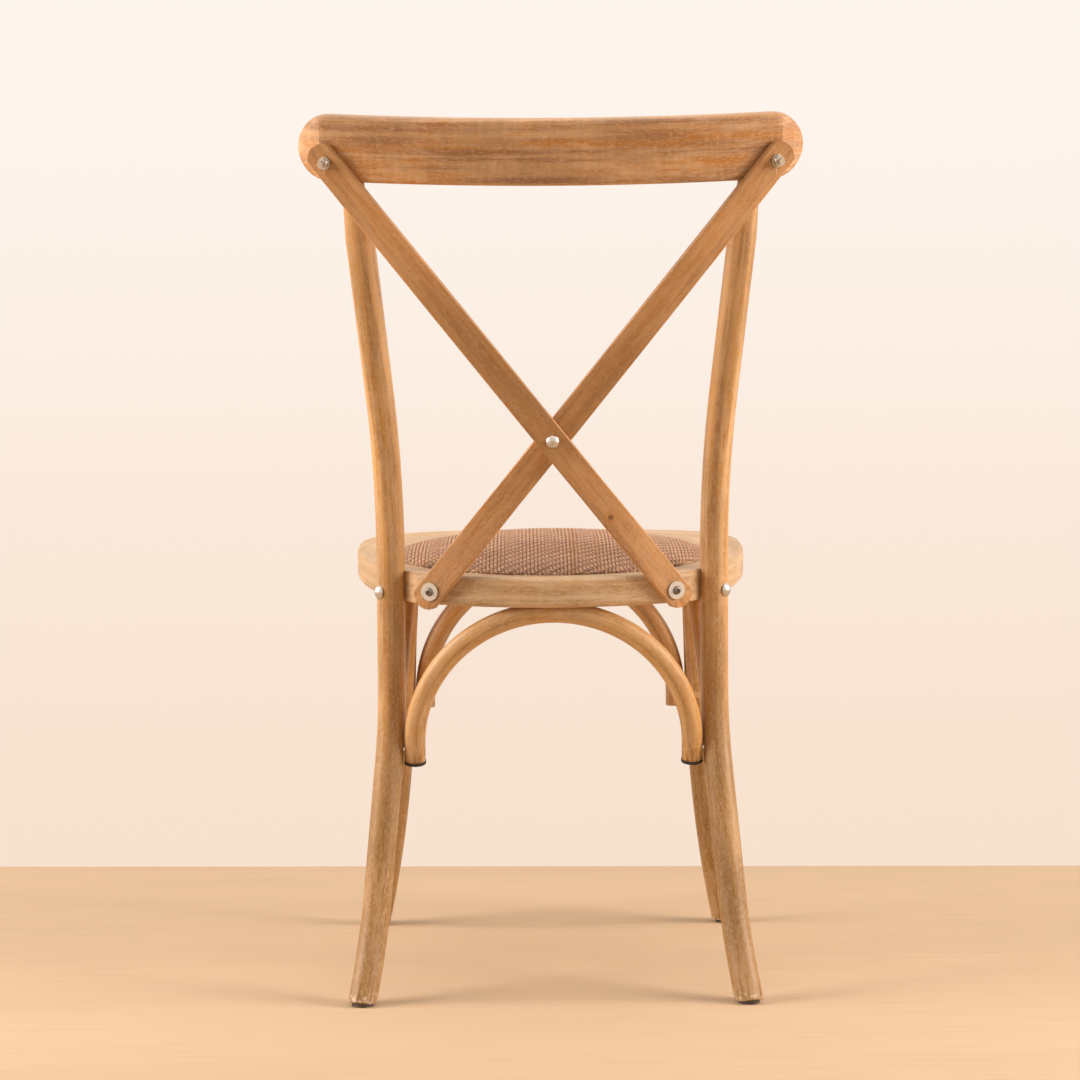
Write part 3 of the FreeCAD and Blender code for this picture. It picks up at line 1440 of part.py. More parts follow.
def crest_gap(leg):
    """How far along its own line a rear leg's rod ends below the rail's underside."""
    place = crest_place()
    up = CREST_TURN.multVec(UP)
    return (place.Base - leg.top).dot(up) / leg.top_way.dot(up)


def make_front_legs():
    for name, side in SIDES.items():
        leg = front_legs[name]
        label = "front_leg_" + name
        trimmed = cut(label + "_trimmed", leg.rod, [
            floor_tool(label + "_floor"), under_seat_tool(label + "_top")])
        depth = val("origin_depth") - leg.top.y
        rise = underside_height(depth) - leg.top.z
        meet = leg.top + leg.top_way * (rise / leg.top_way.z)
        start = meet - leg.top_way * 20
        tenon = cylinder(label + "_tenon", "Sizes.seat_tenon_diameter / 2",
                         "20 + Sizes.seat_tenon_length", start, leg.top_way)
        socket = cylinder(label + "_socket",
                          "Sizes.seat_tenon_diameter / 2 + Sizes.tenon_clearance",
                          "20 + Sizes.seat_tenon_length + Sizes.tenon_clearance",
                          start, leg.top_way)
        bores.setdefault("seat_ring", []).append(socket)
        joined = fuse(label + "_joined", [trimmed, tenon])
        finish(cut(label + "_cut", joined, bores[label]), label)


crest_bolts()
crossing_bolt()
strap_foot_screws()
rear_leg_bolts()
seat_screws()
shape_arches(arches())
make_glides()
make_rear_legs()
make_front_legs()
make_seat()
finish(cut("seat_ring_cut", ring_blank,
           bores["seat_ring"] + [notch_tool("notch_left", 1), notch_tool("notch_right", -1),
                                 notch_recess("recess_left", 1), notch_recess("recess_right", -1)]),
       "seat_ring")
finish(cut("crest_rail_cut", crest_blank, bores["crest_rail"]), "crest_rail")
for strap in (outer_strap, inner_strap):
    blank = strap_feature(strap_name(strap) + "_blank", strap)
    finish(cut(strap_name(strap) + "_cut", blank, bores[strap_name(strap)]), strap_name(strap))

doc.recompute()

for obj in doc.Objects:
    if "Invalid" in obj.State or "Error" in obj.State:
        raise RuntimeError(f"{obj.Name} did not compute: {obj.State}")
for obj in finished:
    if obj.Shape.isNull() or not obj.Shape.isValid():
        raise RuntimeError(f"{obj.Label} has no valid shape")

os.makedirs("parts", exist_ok=True)
box = FreeCAD.BoundBox()
for obj in finished:
    obj.Shape.exportStep(f"parts/{obj.Label}.step")
    box.add(obj.Shape.BoundBox)
    solids = len(obj.Shape.Solids)
    print(f"{obj.Label}: {solids} solid(s), {obj.Shape.Volume / 1000:.1f} cm3")
print(f"box {box.XMin:.1f}..{box.XMax:.1f}, {box.YMin:.1f}..{box.YMax:.1f}, {box.ZMin:.1f}..{box.ZMax:.1f}")
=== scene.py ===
import logging
import math
from bisect import bisect_left
from dataclasses import dataclass, field
from enum import Enum

import bmesh
import bpy
import numpy as np
from mathutils import Matrix, Vector


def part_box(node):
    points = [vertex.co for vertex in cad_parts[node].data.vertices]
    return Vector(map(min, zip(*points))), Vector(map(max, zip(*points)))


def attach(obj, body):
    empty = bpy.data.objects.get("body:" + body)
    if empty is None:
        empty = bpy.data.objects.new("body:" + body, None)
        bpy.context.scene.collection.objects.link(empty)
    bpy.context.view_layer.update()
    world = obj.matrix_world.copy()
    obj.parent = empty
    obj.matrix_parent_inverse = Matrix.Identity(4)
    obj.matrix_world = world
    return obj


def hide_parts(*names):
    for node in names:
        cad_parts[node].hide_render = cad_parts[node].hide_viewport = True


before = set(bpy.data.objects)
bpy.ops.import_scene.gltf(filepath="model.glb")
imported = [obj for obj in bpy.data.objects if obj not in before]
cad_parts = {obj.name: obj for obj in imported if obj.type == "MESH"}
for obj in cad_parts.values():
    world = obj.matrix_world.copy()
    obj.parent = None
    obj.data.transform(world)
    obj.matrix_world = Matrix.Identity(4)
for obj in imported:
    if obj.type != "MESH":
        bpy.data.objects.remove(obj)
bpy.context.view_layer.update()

LOG = logging.getLogger("chair")
RGB = tuple[float, float, float]
Point = tuple[float, float, float]
FIBRES = "fibre"
STRAND_MAP = "strand"
# Strand numbers on the map: lengthwise ones count from the first, crosswise from the second
LENGTHWISE_FROM = 300
CROSSWISE_FROM = 1300
BETWEEN_WAYS = 900.0


def paint(red: int, green: int, blue: int) -> RGB:
    """Turn a colour as it looks on a screen into scene values.

    Args:
        red: Red from 0 to 255.
        green: Green from 0 to 255.
        blue: Blue from 0 to 255.

    Returns:
        The linear colour.
    """
    def line(level: int) -> float:
        """Undo the screen curve for one channel."""
        share = level / 255.0
        return share / 12.92 if share <= 0.04045 else ((share + 0.055) / 1.055) ** 2.4
    return (line(red), line(green), line(blue))


class Travel(Enum):
    """How a bent piece is followed from one end to the other."""

    LEVELS = "straight cuts one after another"
    FAN = "cuts that turn round an axis"


@dataclass(frozen=True)
class Bend:
    """Follows a bent piece, so that its grain runs along it."""

    travel: Travel
    way: Point
    start: Point = (0.0, 0.0, 1.0)
    centre: Point = (0.0, 0.0, 0.0)
    cuts: int = 70
    end_share: float = 0.004
    seam_jump: float = 2.5
    evening_rounds: int = 4

    def places(self, spots: np.ndarray) -> np.ndarray:
        """Find how far along the piece each spot is.

        Args:
            spots: Points, one to a row.

        Returns:
            Levels in metres, or angles of the fan.
        """
        away = spots - np.array(self.centre)
        if self.travel is Travel.LEVELS:
            return away @ np.array(self.way)
        side = np.cross(self.way, self.start)
        return np.arctan2(away @ side, away @ np.array(self.start))

    def middles(self, spots: np.ndarray, pairs: np.ndarray,
                places: np.ndarray) -> tuple[np.ndarray, np.ndarray]:
        """Cut the piece many times and find the middle of each cut.

        Args:
            spots: The vertices.
            pairs: The edges' vertex numbers.
            places: Each vertex's place along the piece.

        Returns:
            The cuts' places and their middles.
        """
        near, far = places[pairs[:, 0]], places[pairs[:, 1]]
        low, high = places.min(), places.max()
        margin = (high - low) * self.end_share
        found, levels = [], []
        for level in np.linspace(low + margin, high - margin, self.cuts):
            hit = ((near - level) * (far - level) < 0) & (np.abs(near - far) < self.seam_jump)
            if hit.sum() < 3:
                continue
            share = ((level - near[hit]) / (far[hit] - near[hit]))[:, None]
            first, second = spots[pairs[hit, 0]], spots[pairs[hit, 1]]
            cut = first + share * (second - first)
            levels.append(level)
            found.append((cut.min(0) + cut.max(0)) / 2)
        line = np.array(found)
        for _ in range(self.evening_rounds):
            line[1:-1] = (line[:-2] + 2 * line[1:-1] + line[2:]) / 4
        return np.array(levels), line

    def mark(self, mesh: bpy.types.Mesh) -> None:
        """Write each corner's place across and along the piece to the mesh.

        Args:
            mesh: The merged mesh.
        """
        spots = np.empty(len(mesh.vertices) * 3, np.float32)
        mesh.vertices.foreach_get("co", spots)
        spots = spots.reshape(-1, 3).astype(float)
        pairs = np.empty(len(mesh.edges) * 2, np.int32)
        mesh.edges.foreach_get("vertices", pairs)
        places = self.places(spots)
        levels, line = self.middles(spots, pairs.reshape(-1, 2), places)
        middle = np.stack([np.interp(places, levels, line[:, axis]) for axis in range(3)], axis=1)
        away = spots - middle
        if self.travel is Travel.LEVELS:
            steps = np.linalg.norm(np.diff(line, axis=0), axis=1)
            lengths = np.concatenate(([0.0], np.cumsum(steps)))
            course = np.gradient(line, axis=0)
            course /= np.linalg.norm(course, axis=1)[:, None]
            heading = np.stack([np.interp(places, levels, course[:, axis]) for axis in range(3)],
                               axis=1)
            ahead = (away * heading).sum(1)
            away -= ahead[:, None] * heading
            side = np.cross(self.way, self.start)
            marks = np.stack([away @ side, away @ np.array(self.start),
                              np.interp(places, levels, lengths) + ahead], axis=1)
        else:
            axis = np.array(self.way)
            flat = spots - np.array(self.centre)
            flat -= (flat @ axis)[:, None] * axis
            inner = middle - np.array(self.centre)
            inner -= (inner @ axis)[:, None] * axis
            reach = np.linalg.norm(inner, axis=1)
            marks = np.stack([np.linalg.norm(flat, axis=1) - reach, away @ axis,
                              places * reach.mean()], axis=1)
        corners = np.empty(len(mesh.loops), np.int32)
        mesh.loops.foreach_get("vertex_index", corners)
        shown = marks[corners].reshape(-1, 3, 3)
        turn = 2 * math.pi * (marks[:, 2].max() / max(places.max(), 1e-6))
        split = (np.ptp(shown[:, :, 2], axis=1) > turn / 2) & (self.travel is Travel.FAN)
        shown[:, :, 2] += np.where(split[:, None] & (shown[:, :, 2] < 0), turn, 0.0)
        layer = mesh.attributes.new(FIBRES, "FLOAT_VECTOR", "CORNER")
        layer.data.foreach_set("vector", shown.astype(np.float32).ravel())


class Graph:
    """A node tree, put together one node at a time."""

    def __init__(self, tree: bpy.types.NodeTree) -> None:
        """Start with an empty tree.

        Args:
            tree: The tree to fill.
        """
        self.tree = tree
        self.tree.nodes.clear()

    def feed(self, node: bpy.types.Node, key: str | int, value: object) -> None:
        """Set or link one input of a node.

        Args:
            node: The node that takes the value.
            key: The input's name or index.
            value: A socket to link, or a plain value.
        """
        socket = node.inputs[key]
        if isinstance(value, bpy.types.NodeSocket):
            self.tree.links.new(value, socket)
        elif isinstance(value, tuple) and socket.type == "RGBA":
            socket.default_value = (*value, 1.0)
        else:
            socket.default_value = value

    def add(self, kind: str, values: dict, **settings: object) -> bpy.types.Node:
        """Add a node with its settings and inputs.

        Args:
            kind: The node's type name after "ShaderNode".
            values: Input names or indices with their values.
            settings: Attributes of the node itself.

        Returns:
            The new node.
        """
        node = self.tree.nodes.new("ShaderNode" + kind)
        for key, value in settings.items():
            setattr(node, key, value)
        for key, value in values.items():
            self.feed(node, key, value)
        return node

    def math(self, how: str, first: object, second: object = 0.0) -> bpy.types.NodeSocket:
        """Combine two numbers.

        Args:
            how: The operation's name.
            first: First number or socket.
            second: Second number or socket.

        Returns:
            The result's socket.
        """
        return self.add("Math", {0: first, 1: second}, operation=how).outputs[0]

    def times(self, first: object, second: object) -> bpy.types.NodeSocket:
        """Multiply two numbers."""
        return self.math("MULTIPLY", first, second)

    def noise(self, where: object, scale: float, detail: float = 3.0,
              roughness: float = 0.5) -> bpy.types.NodeSocket:
        """Read a noise pattern.

        Args:
            where: The coordinates.
            scale: Cells per metre.
            detail: Octaves.
            roughness: Weight of the finer octaves.

        Returns:
            The pattern's value.
        """
        return self.add("TexNoise", {"Vector": where, "Scale": scale, "Detail": detail,
                                     "Roughness": roughness}).outputs[0]

    def ramp(self, value: object, low: float, high: float, start: float = 0.0,
             end: float = 1.0) -> bpy.types.NodeSocket:
        """Spread one range of a value smoothly over another.

        Args:
            value: The value.
            low: Where the change begins.
            high: Where it ends.
            start: Result before the change.
            end: Result after it.

        Returns:
            The spread value.
        """
        return self.add("MapRange", {0: value, 1: low, 2: high, 3: start, 4: end},
                        interpolation_type="SMOOTHSTEP").outputs[0]

    def mix(self, share: object, first: object, second: object,
            how: str = "MIX") -> bpy.types.NodeSocket:
        """Mix two colours.

        Args:
            share: How much of the second shows.
            first: First colour.
            second: Second colour.
            how: Blend mode.

        Returns:
            The mixed colour.
        """
        return self.add("Mix", {0: share, 6: first, 7: second}, data_type="RGBA",
                        blend_type=how).outputs[2]

    def place(self, stretch: Point = (1, 1, 1), shift: Point = (0, 0, 0),
              where: object = None) -> bpy.types.NodeSocket:
        """Read the object's own coordinates, moved and then stretched.

        Args:
            stretch: Scale of each axis after the move.
            shift: The move.
            where: Coordinates to change, or none for the object's own.

        Returns:
            The changed coordinates.
        """
        if where is None:
            where = self.add("TexCoord", {}).outputs["Object"]
        moved = self.add("Mapping", {"Vector": where, "Location": shift})
        return self.add("Mapping", {"Vector": moved.outputs[0], "Scale": stretch}).outputs[0]

    def bump(self, height: object, depth: float, strength: float = 1.0,
             under: object = None) -> bpy.types.NodeSocket:
        """Turn a height into a normal.

        Args:
            height: The height pattern from 0 to 1.
            depth: The depth in metres that 1 stands for.
            strength: How much of it shows.
            under: A normal that it is laid over.

        Returns:
            The normal.
        """
        values = {"Height": height, "Distance": depth, "Strength": strength}
        if under is not None:
            values["Normal"] = under
        return self.add("Bump", values).outputs[0]


class SurfaceGraph(Graph):
    """A material's node tree round one surface shader."""

    def __init__(self, name: str) -> None:
        """Start a material with nothing but its shader.

        Args:
            name: The material's name.
        """
        self.material = bpy.data.materials.new(name)
        self.material.use_nodes = True
        super().__init__(self.material.node_tree)
        self.shader = self.add("BsdfPrincipled", {})
        self.output = self.add("OutputMaterial", {0: self.shader.outputs[0]})

    def show(self, share: object, tone: object) -> None:
        """Lay a set tone over the surface.

        Args:
            share: How much of the tone shows.
            tone: The tone's colour.
        """
        glow = self.add("Emission", {"Color": tone, "Strength": 1.0})
        both = self.add("MixShader", {0: share, 1: self.shader.outputs[0], 2: glow.outputs[0]})
        self.feed(self.output, 0, both.outputs[0])

    def surface(self, **inputs: object) -> bpy.types.Material:
        """Feed the surface shader.

        Args:
            inputs: Shader inputs, with underscores for the spaces in their names.

        Returns:
            The finished material.
        """
        for key, value in inputs.items():
            self.feed(self.shader, key.replace("_", " "), value)
        return self.material


@dataclass(frozen=True)
class LimedWood:
    """Steam-bent hardwood with honey streaks under a rubbed lime wash."""

    body: RGB
    shade: RGB
    honey: RGB
    lime: RGB
    honey_share: float = 0.55
    lime_share: float = 0.5
    ripple: float = 0.02
    rough: float = 0.44
    pore_depth: float = 0.00018
    stretch_change: float = 0.11
    worn_to: float = 0.26
    foot_tone_from: float = 0.06
    foot_tone_to: float = 0.46
    foot_tone: float = 0.45

    def material(self, name: str, seed: float, marked: bool = True,
                 knots: tuple[Point, ...] = (), feet: bool = False) -> bpy.types.Material:
        """Make the wood for one piece.

        Args:
            name: The material's name.
            seed: Moves the pattern, so that no two pieces match.
            marked: True for a piece whose mesh says how its fibres run.
            knots: Places of small knots.
            feet: True for a leg, whose foot is rubbed and chipped.

        Returns:
            The material.
        """
        graph = SurfaceGraph(name)
        if marked:
            lie = graph.add("Attribute", {}, attribute_name=FIBRES).outputs["Vector"]
        else:
            lie = graph.add("TexCoord", {}).outputs["Object"]
        run = graph.place(shift=(seed * 0.37, seed * 0.71, seed * 0.53), where=lie)

        def streaks(length: float, scale: float, detail: float = 3.0,
                    roughness: float = 0.55) -> bpy.types.NodeSocket:
            """Read a pattern drawn out along the fibres."""
            return graph.noise(graph.place(stretch=(1, 1, 1 / length), where=run), scale, detail,
                               roughness)
        figure = streaks(28.0, 150.0, 5.0, 0.6)
        bands = streaks(22.0, 62.0, 3.0)
        threads = streaks(24.0, 520.0, 3.0, 0.6)
        flecks = streaks(3.6, 700.0, 3.0, 0.7)
        wash = streaks(4.5, 130.0, 5.0, 0.68)
        cloud = streaks(3.0, 20.0, 2.0)
        pores = streaks(9.0, 1900.0, 2.0)
        colour = graph.mix(graph.ramp(figure, 0.38, 0.62), self.body, self.shade)
        warm = graph.times(graph.ramp(bands, 0.48, 0.62), self.honey_share)
        colour = graph.mix(warm, colour, self.honey)
        lines = graph.times(graph.ramp(threads, 0.54, 0.64), 0.38)
        colour = graph.mix(lines, colour, self.honey)
        dark = graph.times(graph.ramp(threads, 0.44, 0.36), 0.30)
        colour = graph.mix(dark, colour, self.shade)
        film = graph.times(graph.ramp(wash, 0.44, 0.60), graph.ramp(cloud, 0.36, 0.6, 0.3))
        film = graph.times(film, self.lime_share)
        fine = graph.times(graph.ramp(flecks, 0.50, 0.60), self.lime_share * 1.1)
        film = graph.math("MAXIMUM", film, fine)
        if feet:
            here = graph.add("TexCoord", {}).outputs["Object"]
            height = graph.add("SeparateXYZ", {0: here}).outputs[2]
            low = graph.ramp(height, 0.01, self.worn_to, 0.30, 0.0)
            rubbed = graph.times(low, graph.ramp(flecks, 0.42, 0.58, 0.25))
            film = graph.math("MAXIMUM", film, graph.times(rubbed, graph.ramp(wash, 0.3, 0.55)))
            # Towards the foot the colour turns to a darker honey tone, fading out with height.
            foot_tone = graph.ramp(height, self.foot_tone_from, self.foot_tone_to, 0.85, 0.0)
            colour = graph.mix(foot_tone, colour, tuple(level * self.foot_tone for level in self.honey))
        colour = graph.mix(film, colour, self.lime)
        across = graph.noise(graph.place(stretch=(0.15, 0.15, 1), where=run), 210.0, 2.0)
        waves = graph.ramp(across, 0.35, 0.65, 1.0 - self.ripple, 1.0 + self.ripple)
        waves = graph.times(waves, graph.ramp(cloud, 0.36, 0.64, 1.0 - self.stretch_change,
                                              1.0 + self.stretch_change))
        grey = graph.add("CombineXYZ", {0: waves, 1: waves, 2: waves}).outputs[0]
        colour = graph.mix(1.0, colour, grey, "MULTIPLY")
        dots = graph.times(graph.ramp(pores, 0.58, 0.72), 0.30)
        colour = graph.mix(dots, colour, tuple(level * 0.5 for level in self.shade))
        for spot in knots:
            colour = self.knot(graph, colour, spot)
        if feet:
            chips = graph.ramp(graph.noise(graph.place(), 260.0, 3.0, 0.6), 0.50, 0.57)
            band = graph.ramp(height, 0.008, 0.016, 0.6, 0.0)
            colour = graph.mix(graph.times(chips, band), colour, paint(232, 214, 190))
        relief = graph.math("SUBTRACT", graph.times(threads, 0.5),
                            graph.times(graph.ramp(pores, 0.55, 0.75), 0.6))
        wavy = graph.bump(streaks(4.0, 60.0, 2.0), 0.0009, 0.3)
        normal = graph.bump(relief, self.pore_depth, 0.8, wavy)
        gloss = graph.ramp(film, 0.0, 0.6, self.rough, self.rough + 0.18)
        return graph.surface(Base_Color=colour, Roughness=gloss, Normal=normal,
                             Specular_IOR_Level=0.5)

    def knot(self, graph: Graph, colour: object, spot: Point) -> bpy.types.NodeSocket:
        """Lay a small knot and its halo over the colour.

        Args:
            graph: The material's graph.
            colour: The colour so far.
            spot: The knot's centre.

        Returns:
            The colour with the knot.
        """
        here = graph.place()
        wobble = graph.times(graph.noise(here, 300.0), 0.004)
        away = graph.add("VectorMath", {0: here, 1: spot}, operation="DISTANCE").outputs["Value"]
        away = graph.math("ADD", away, wobble)
        colour = graph.mix(graph.ramp(away, 0.004, 0.013, 0.55, 0.0), colour, self.honey)
        return graph.mix(graph.ramp(away, 0.0028, 0.0064, 0.85, 0.0), colour, paint(104, 62, 40))


@dataclass(frozen=True)
class Steel:
    """Plated steel with fine handling marks."""

    colour: RGB
    rough: float = 0.28
    dull: float = 0.25

    def material(self, name: str, seed: float) -> bpy.types.Material:
        """Make the metal.

        Args:
            name: The material's name.
            seed: Moves the pattern.

        Returns:
            The material.
        """
        graph = SurfaceGraph(name)
        here = graph.place(shift=(seed, seed * 0.6, seed * 0.3))
        cloud = graph.noise(here, 240.0, 4.0, 0.6)
        marks = graph.noise(graph.place(stretch=(1, 1, 0.15), where=here), 2600.0, 2.0, 0.6)
        grime = tuple(level * 0.55 for level in self.colour)
        colour = graph.mix(graph.times(graph.ramp(cloud, 0.5, 0.75), self.dull),
                           self.colour, grime)
        rough = graph.ramp(cloud, 0.3, 0.75, self.rough, self.rough + 0.2)
        normal = graph.bump(marks, 0.00006, 0.5)
        return graph.surface(Base_Color=colour, Metallic=1.0, Roughness=rough, Normal=normal)


@dataclass(frozen=True)
class Moulded:
    """Rubber, plastic, foam or bare board, with a fine matte grain."""

    colour: RGB
    light: RGB
    rough: float = 0.7
    grain: float = 900.0
    depth: float = 0.00012

    def material(self, name: str, seed: float) -> bpy.types.Material:
        """Make the moulded finish.

        Args:
            name: The material's name.
            seed: Moves the pattern.

        Returns:
            The material.
        """
        graph = SurfaceGraph(name)
        here = graph.place(shift=(seed, seed * 0.4, seed * 0.9))
        cloud = graph.noise(here, 130.0, 4.0, 0.6)
        fine = graph.noise(here, self.grain, 3.0, 0.6)
        colour = graph.mix(graph.ramp(cloud, 0.35, 0.7), self.colour, self.light)
        rough = graph.ramp(fine, 0.3, 0.7, self.rough - 0.08, self.rough + 0.1)
        return graph.surface(Base_Color=colour, Roughness=rough,
                             Normal=graph.bump(fine, self.depth, 0.7))


@dataclass(frozen=True)
class TwistedFibre:
    """Two-ply paper fibre: painted shade in the twist grooves, painted warm highlights and a few
    honey strands.
    """

    body: RGB = paint(200, 160, 130)
    cross: RGB = paint(172, 134, 112)
    painted_groove_shade_and_speck: RGB = paint(96, 64, 56)
    pale: RGB = paint(224, 184, 148)
    honey: RGB = paint(196, 132, 66)
    ply: float = 0.0042

    def material(self, name: str) -> bpy.types.Material:
        """Make the fibre, whose pattern follows each strand's own map.

        Args:
            name: The material's name.

        Returns:
            The material.
        """
        graph = SurfaceGraph(name)
        strand = graph.add("UVMap", {}, uv_map=STRAND_MAP).outputs[0]
        parts = graph.add("SeparateXYZ", {0: strand}).outputs
        cells = graph.add("CombineXYZ", {0: graph.math("FLOOR", parts[0]),
                                         1: graph.times(parts[1], 22.0)})
        tone = graph.noise(cells.outputs[0], 1.0, 3.0, 0.6)
        lone = graph.add("TexWhiteNoise", {"W": graph.math("FLOOR", parts[0])},
                         noise_dimensions="1D").outputs["Value"]
        twist = graph.math("ADD", graph.math("DIVIDE", parts[1], self.ply),
                           graph.math("FRACT", parts[0]))
        wave = graph.math("SINE", graph.times(twist, 2 * math.pi))
        plies = graph.ramp(wave, -1.0, 0.3)
        crosswise = graph.ramp(parts[0], BETWEEN_WAYS - 1.0, BETWEEN_WAYS + 1.0)
        ground = graph.mix(crosswise, self.body, self.cross)
        # Painted highlight: the pale tone, laid in patches along each strand.
        bright = graph.mix(crosswise, self.pale, self.body)
        colour = graph.mix(graph.ramp(tone, 0.3, 0.72), ground, bright)
        colour = graph.mix(graph.ramp(lone, 0.92, 0.95, 0.0, 0.5), colour, self.honey)
        # Painted shade: the grooves between the two plies are darkened with the dark colour.
        colour = graph.mix(graph.times(graph.math("SUBTRACT", 1.0, plies), 0.5),
                           colour, self.painted_groove_shade_and_speck)
        # The same dark colour also gives fine random hair specks.
        hair = graph.noise(graph.place(), 2400.0, 3.0, 0.7)
        colour = graph.mix(graph.ramp(hair, 0.5, 0.72, 0.0, 0.4), colour, self.painted_groove_shade_and_speck)
        relief = graph.math("ADD", plies, graph.times(hair, 0.35))
        return graph.surface(Base_Color=colour, Roughness=0.72, Sheen_Weight=0.15,
                             Sheen_Roughness=0.4, Normal=graph.bump(relief, 0.0005, 0.9))


RODS = LimedWood(paint(210, 167, 112), paint(166, 122, 74), paint(204, 147, 64),
                 paint(212, 182, 146), honey_share=0.8, lime_share=0.42, rough=0.38)
RAIL = LimedWood(paint(208, 162, 115), paint(162, 114, 76), paint(198, 134, 60),
                 paint(222, 190, 156), honey_share=0.85, lime_share=0.45, ripple=0.05)
STRAPS = LimedWood(paint(200, 150, 98), paint(174, 124, 76), paint(190, 130, 66),
                   paint(208, 172, 132), honey_share=0.4, lime_share=0.4, rough=0.4)
RING = LimedWood(paint(206, 174, 136), paint(178, 143, 102), paint(192, 146, 92),
                 paint(220, 198, 170), honey_share=0.4, lime_share=0.45, rough=0.46)
BOARD = LimedWood(paint(205, 170, 125), paint(170, 130, 90), paint(190, 140, 80),
                  paint(220, 195, 160), rough=0.7)
BRIGHT = Steel(paint(205, 198, 190))
DULL = Steel(paint(192, 186, 178), rough=0.5, dull=0.35)
DARK = Steel(paint(128, 118, 108), rough=0.35, dull=0.5)
RUBBER = Moulded(paint(38, 33, 33), paint(62, 55, 52), 0.62)
GLIDE = Moulded(paint(74, 68, 62), paint(104, 96, 88), 0.5)
# The padding's dark colour is painted shade, which shows through the gaps of the weave.
PADDING_GAP_SHADE = Moulded(paint(92, 60, 54), paint(62, 42, 40), 0.95, 600.0, 0.0003)
FIBRE = TwistedFibre()

# Where the seat and the side arches have their middles, taken from the frame
SEAT_DEPTH, ARCH_DEPTH = (sum(corner.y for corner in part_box(name)) / 2
                          for name in ("seat_weave", "side_arch_left"))
STRAP_RUN = Vector((-0.626, 0.0, -0.780)).normalized()
UPRIGHT = Bend(Travel.LEVELS, (0.0, 0.0, 1.0), (0.0, 1.0, 0.0))
SIDEWAYS = Bend(Travel.LEVELS, (1.0, 0.0, 0.0), (0.0, 0.0, 1.0))
STRAP_BENDS = (Bend(Travel.LEVELS, tuple(STRAP_RUN), (0.0, 1.0, 0.0)),
               Bend(Travel.LEVELS, (-STRAP_RUN.x, 0.0, STRAP_RUN.z), (0.0, 1.0, 0.0)))
ROUND_SEAT = Bend(Travel.FAN, (0.0, 0.0, 1.0), (0.0, 1.0, 0.0), (0.0, SEAT_DEPTH, 0.0))
REAR_ARCH = Bend(Travel.FAN, (0.0, 1.0, 0.0), (0.0, 0.0, 1.0), (0.0, 0.0, 0.255))
FRONT_ARCH = Bend(Travel.FAN, (0.0, 1.0, 0.0), (0.0, 0.0, 1.0), (0.0, 0.0, 0.271))
SIDE_ARCH = Bend(Travel.FAN, (1.0, 0.0, 0.0), (0.0, 0.0, 1.0),
                 (0.0, ARCH_DEPTH, 0.281))


def dress(node: str, material: bpy.types.Material) -> None:
    """Give a node of the frame its material.

    Args:
        node: The node's name.
        material: The material.
    """
    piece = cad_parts[node]
    piece.data.materials.clear()
    piece.data.materials.append(material)
    LOG.info("dressed %s", node)


def clear_choice() -> None:
    """Leave edit mode and select nothing."""
    if bpy.context.object and bpy.context.object.mode != "OBJECT":
        bpy.ops.object.mode_set(mode="OBJECT")
    bpy.ops.object.select_all(action="DESELECT")


@dataclass
class WoodPiece:
    """One bent wooden piece: the frame's node, merged, smoothed and given its grain."""

    node: str
    finish: LimedWood
    bend: Bend
    slot: str
    seed: float
    knots: tuple[Point, ...] = ()
    feet: bool = False

    def build(self) -> None:
        """Make the smooth piece, mark its fibres and dress it."""
        clear_choice()
        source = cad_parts[self.node]
        piece = bpy.data.objects.new(self.node + "_smooth", source.data.copy())
        bpy.context.collection.objects.link(piece)
        piece.select_set(True)
        bpy.context.view_layer.objects.active = piece
        bpy.ops.object.mode_set(mode="EDIT")
        bpy.ops.mesh.select_all(action="SELECT")
        bpy.ops.mesh.remove_doubles(threshold=0.000002)
        bpy.ops.object.mode_set(mode="OBJECT")
        bpy.ops.object.shade_smooth_by_angle(angle=math.radians(32))
        even = piece.modifiers.new("even_faces", "WEIGHTED_NORMAL")
        even.keep_sharp = True
        even.weight = 90
        bpy.ops.object.modifier_apply(modifier="even_faces")
        self.bend.mark(piece.data)
        piece.data.materials.clear()
        piece.data.materials.append(self.finish.material(self.node + "_wood", self.seed, True,
                                                         self.knots, self.feet))
        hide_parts(self.node)
        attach(piece, "root")
        LOG.info("made %s", piece.name)


@dataclass
class Legs:
    """The four bent legs with their glides and nails."""

    names: tuple[str, ...] = ("rear_leg_left", "rear_leg_right", "front_leg_left",
                              "front_leg_right")

    def build(self) -> None:
        """Build each leg from its own piece of wood."""
        for number, name in enumerate(self.names):
            WoodPiece(name, RODS, UPRIGHT, "rod_wood", 1.0 + number, feet=True).build()
        dress("leg_glides", GLIDE.material("glide", 1.0))
        dress("glide_nails", BRIGHT.material("nail_steel", 2.0))


@dataclass
class Back:
    """The rail, the crossed straps and what holds them."""

    rail_knots: tuple[Point, ...] = ((-0.155, 0.222, 0.840), (0.002, 0.244, 0.829))
    strap_knots: tuple[Point, ...] = ((-0.058, 0.178, 0.490),)
    bright: tuple[str, ...] = ("crest_bolts", "crest_washers", "crest_nuts", "cross_bolt",
                               "cross_bolt_sleeve")

    def build(self) -> None:
        """Build the rail and straps and dress their metal."""
        WoodPiece("crest_rail", RAIL, SIDEWAYS, "rail_wood", 3.0, self.rail_knots).build()
        WoodPiece("back_strap_outer", STRAPS, STRAP_BENDS[0], "strap_wood", 5.0,
                  self.strap_knots).build()
        WoodPiece("back_strap_inner", STRAPS, STRAP_BENDS[1], "strap_wood", 7.0).build()
        for number, name in enumerate(self.bright):
            dress(name, BRIGHT.material(name + "_steel", float(number)))
        dress("strap_washers", DULL.material("strap_washer_steel", 1.0))
        dress("strap_screws", DARK.material("strap_screw_steel", 2.0))


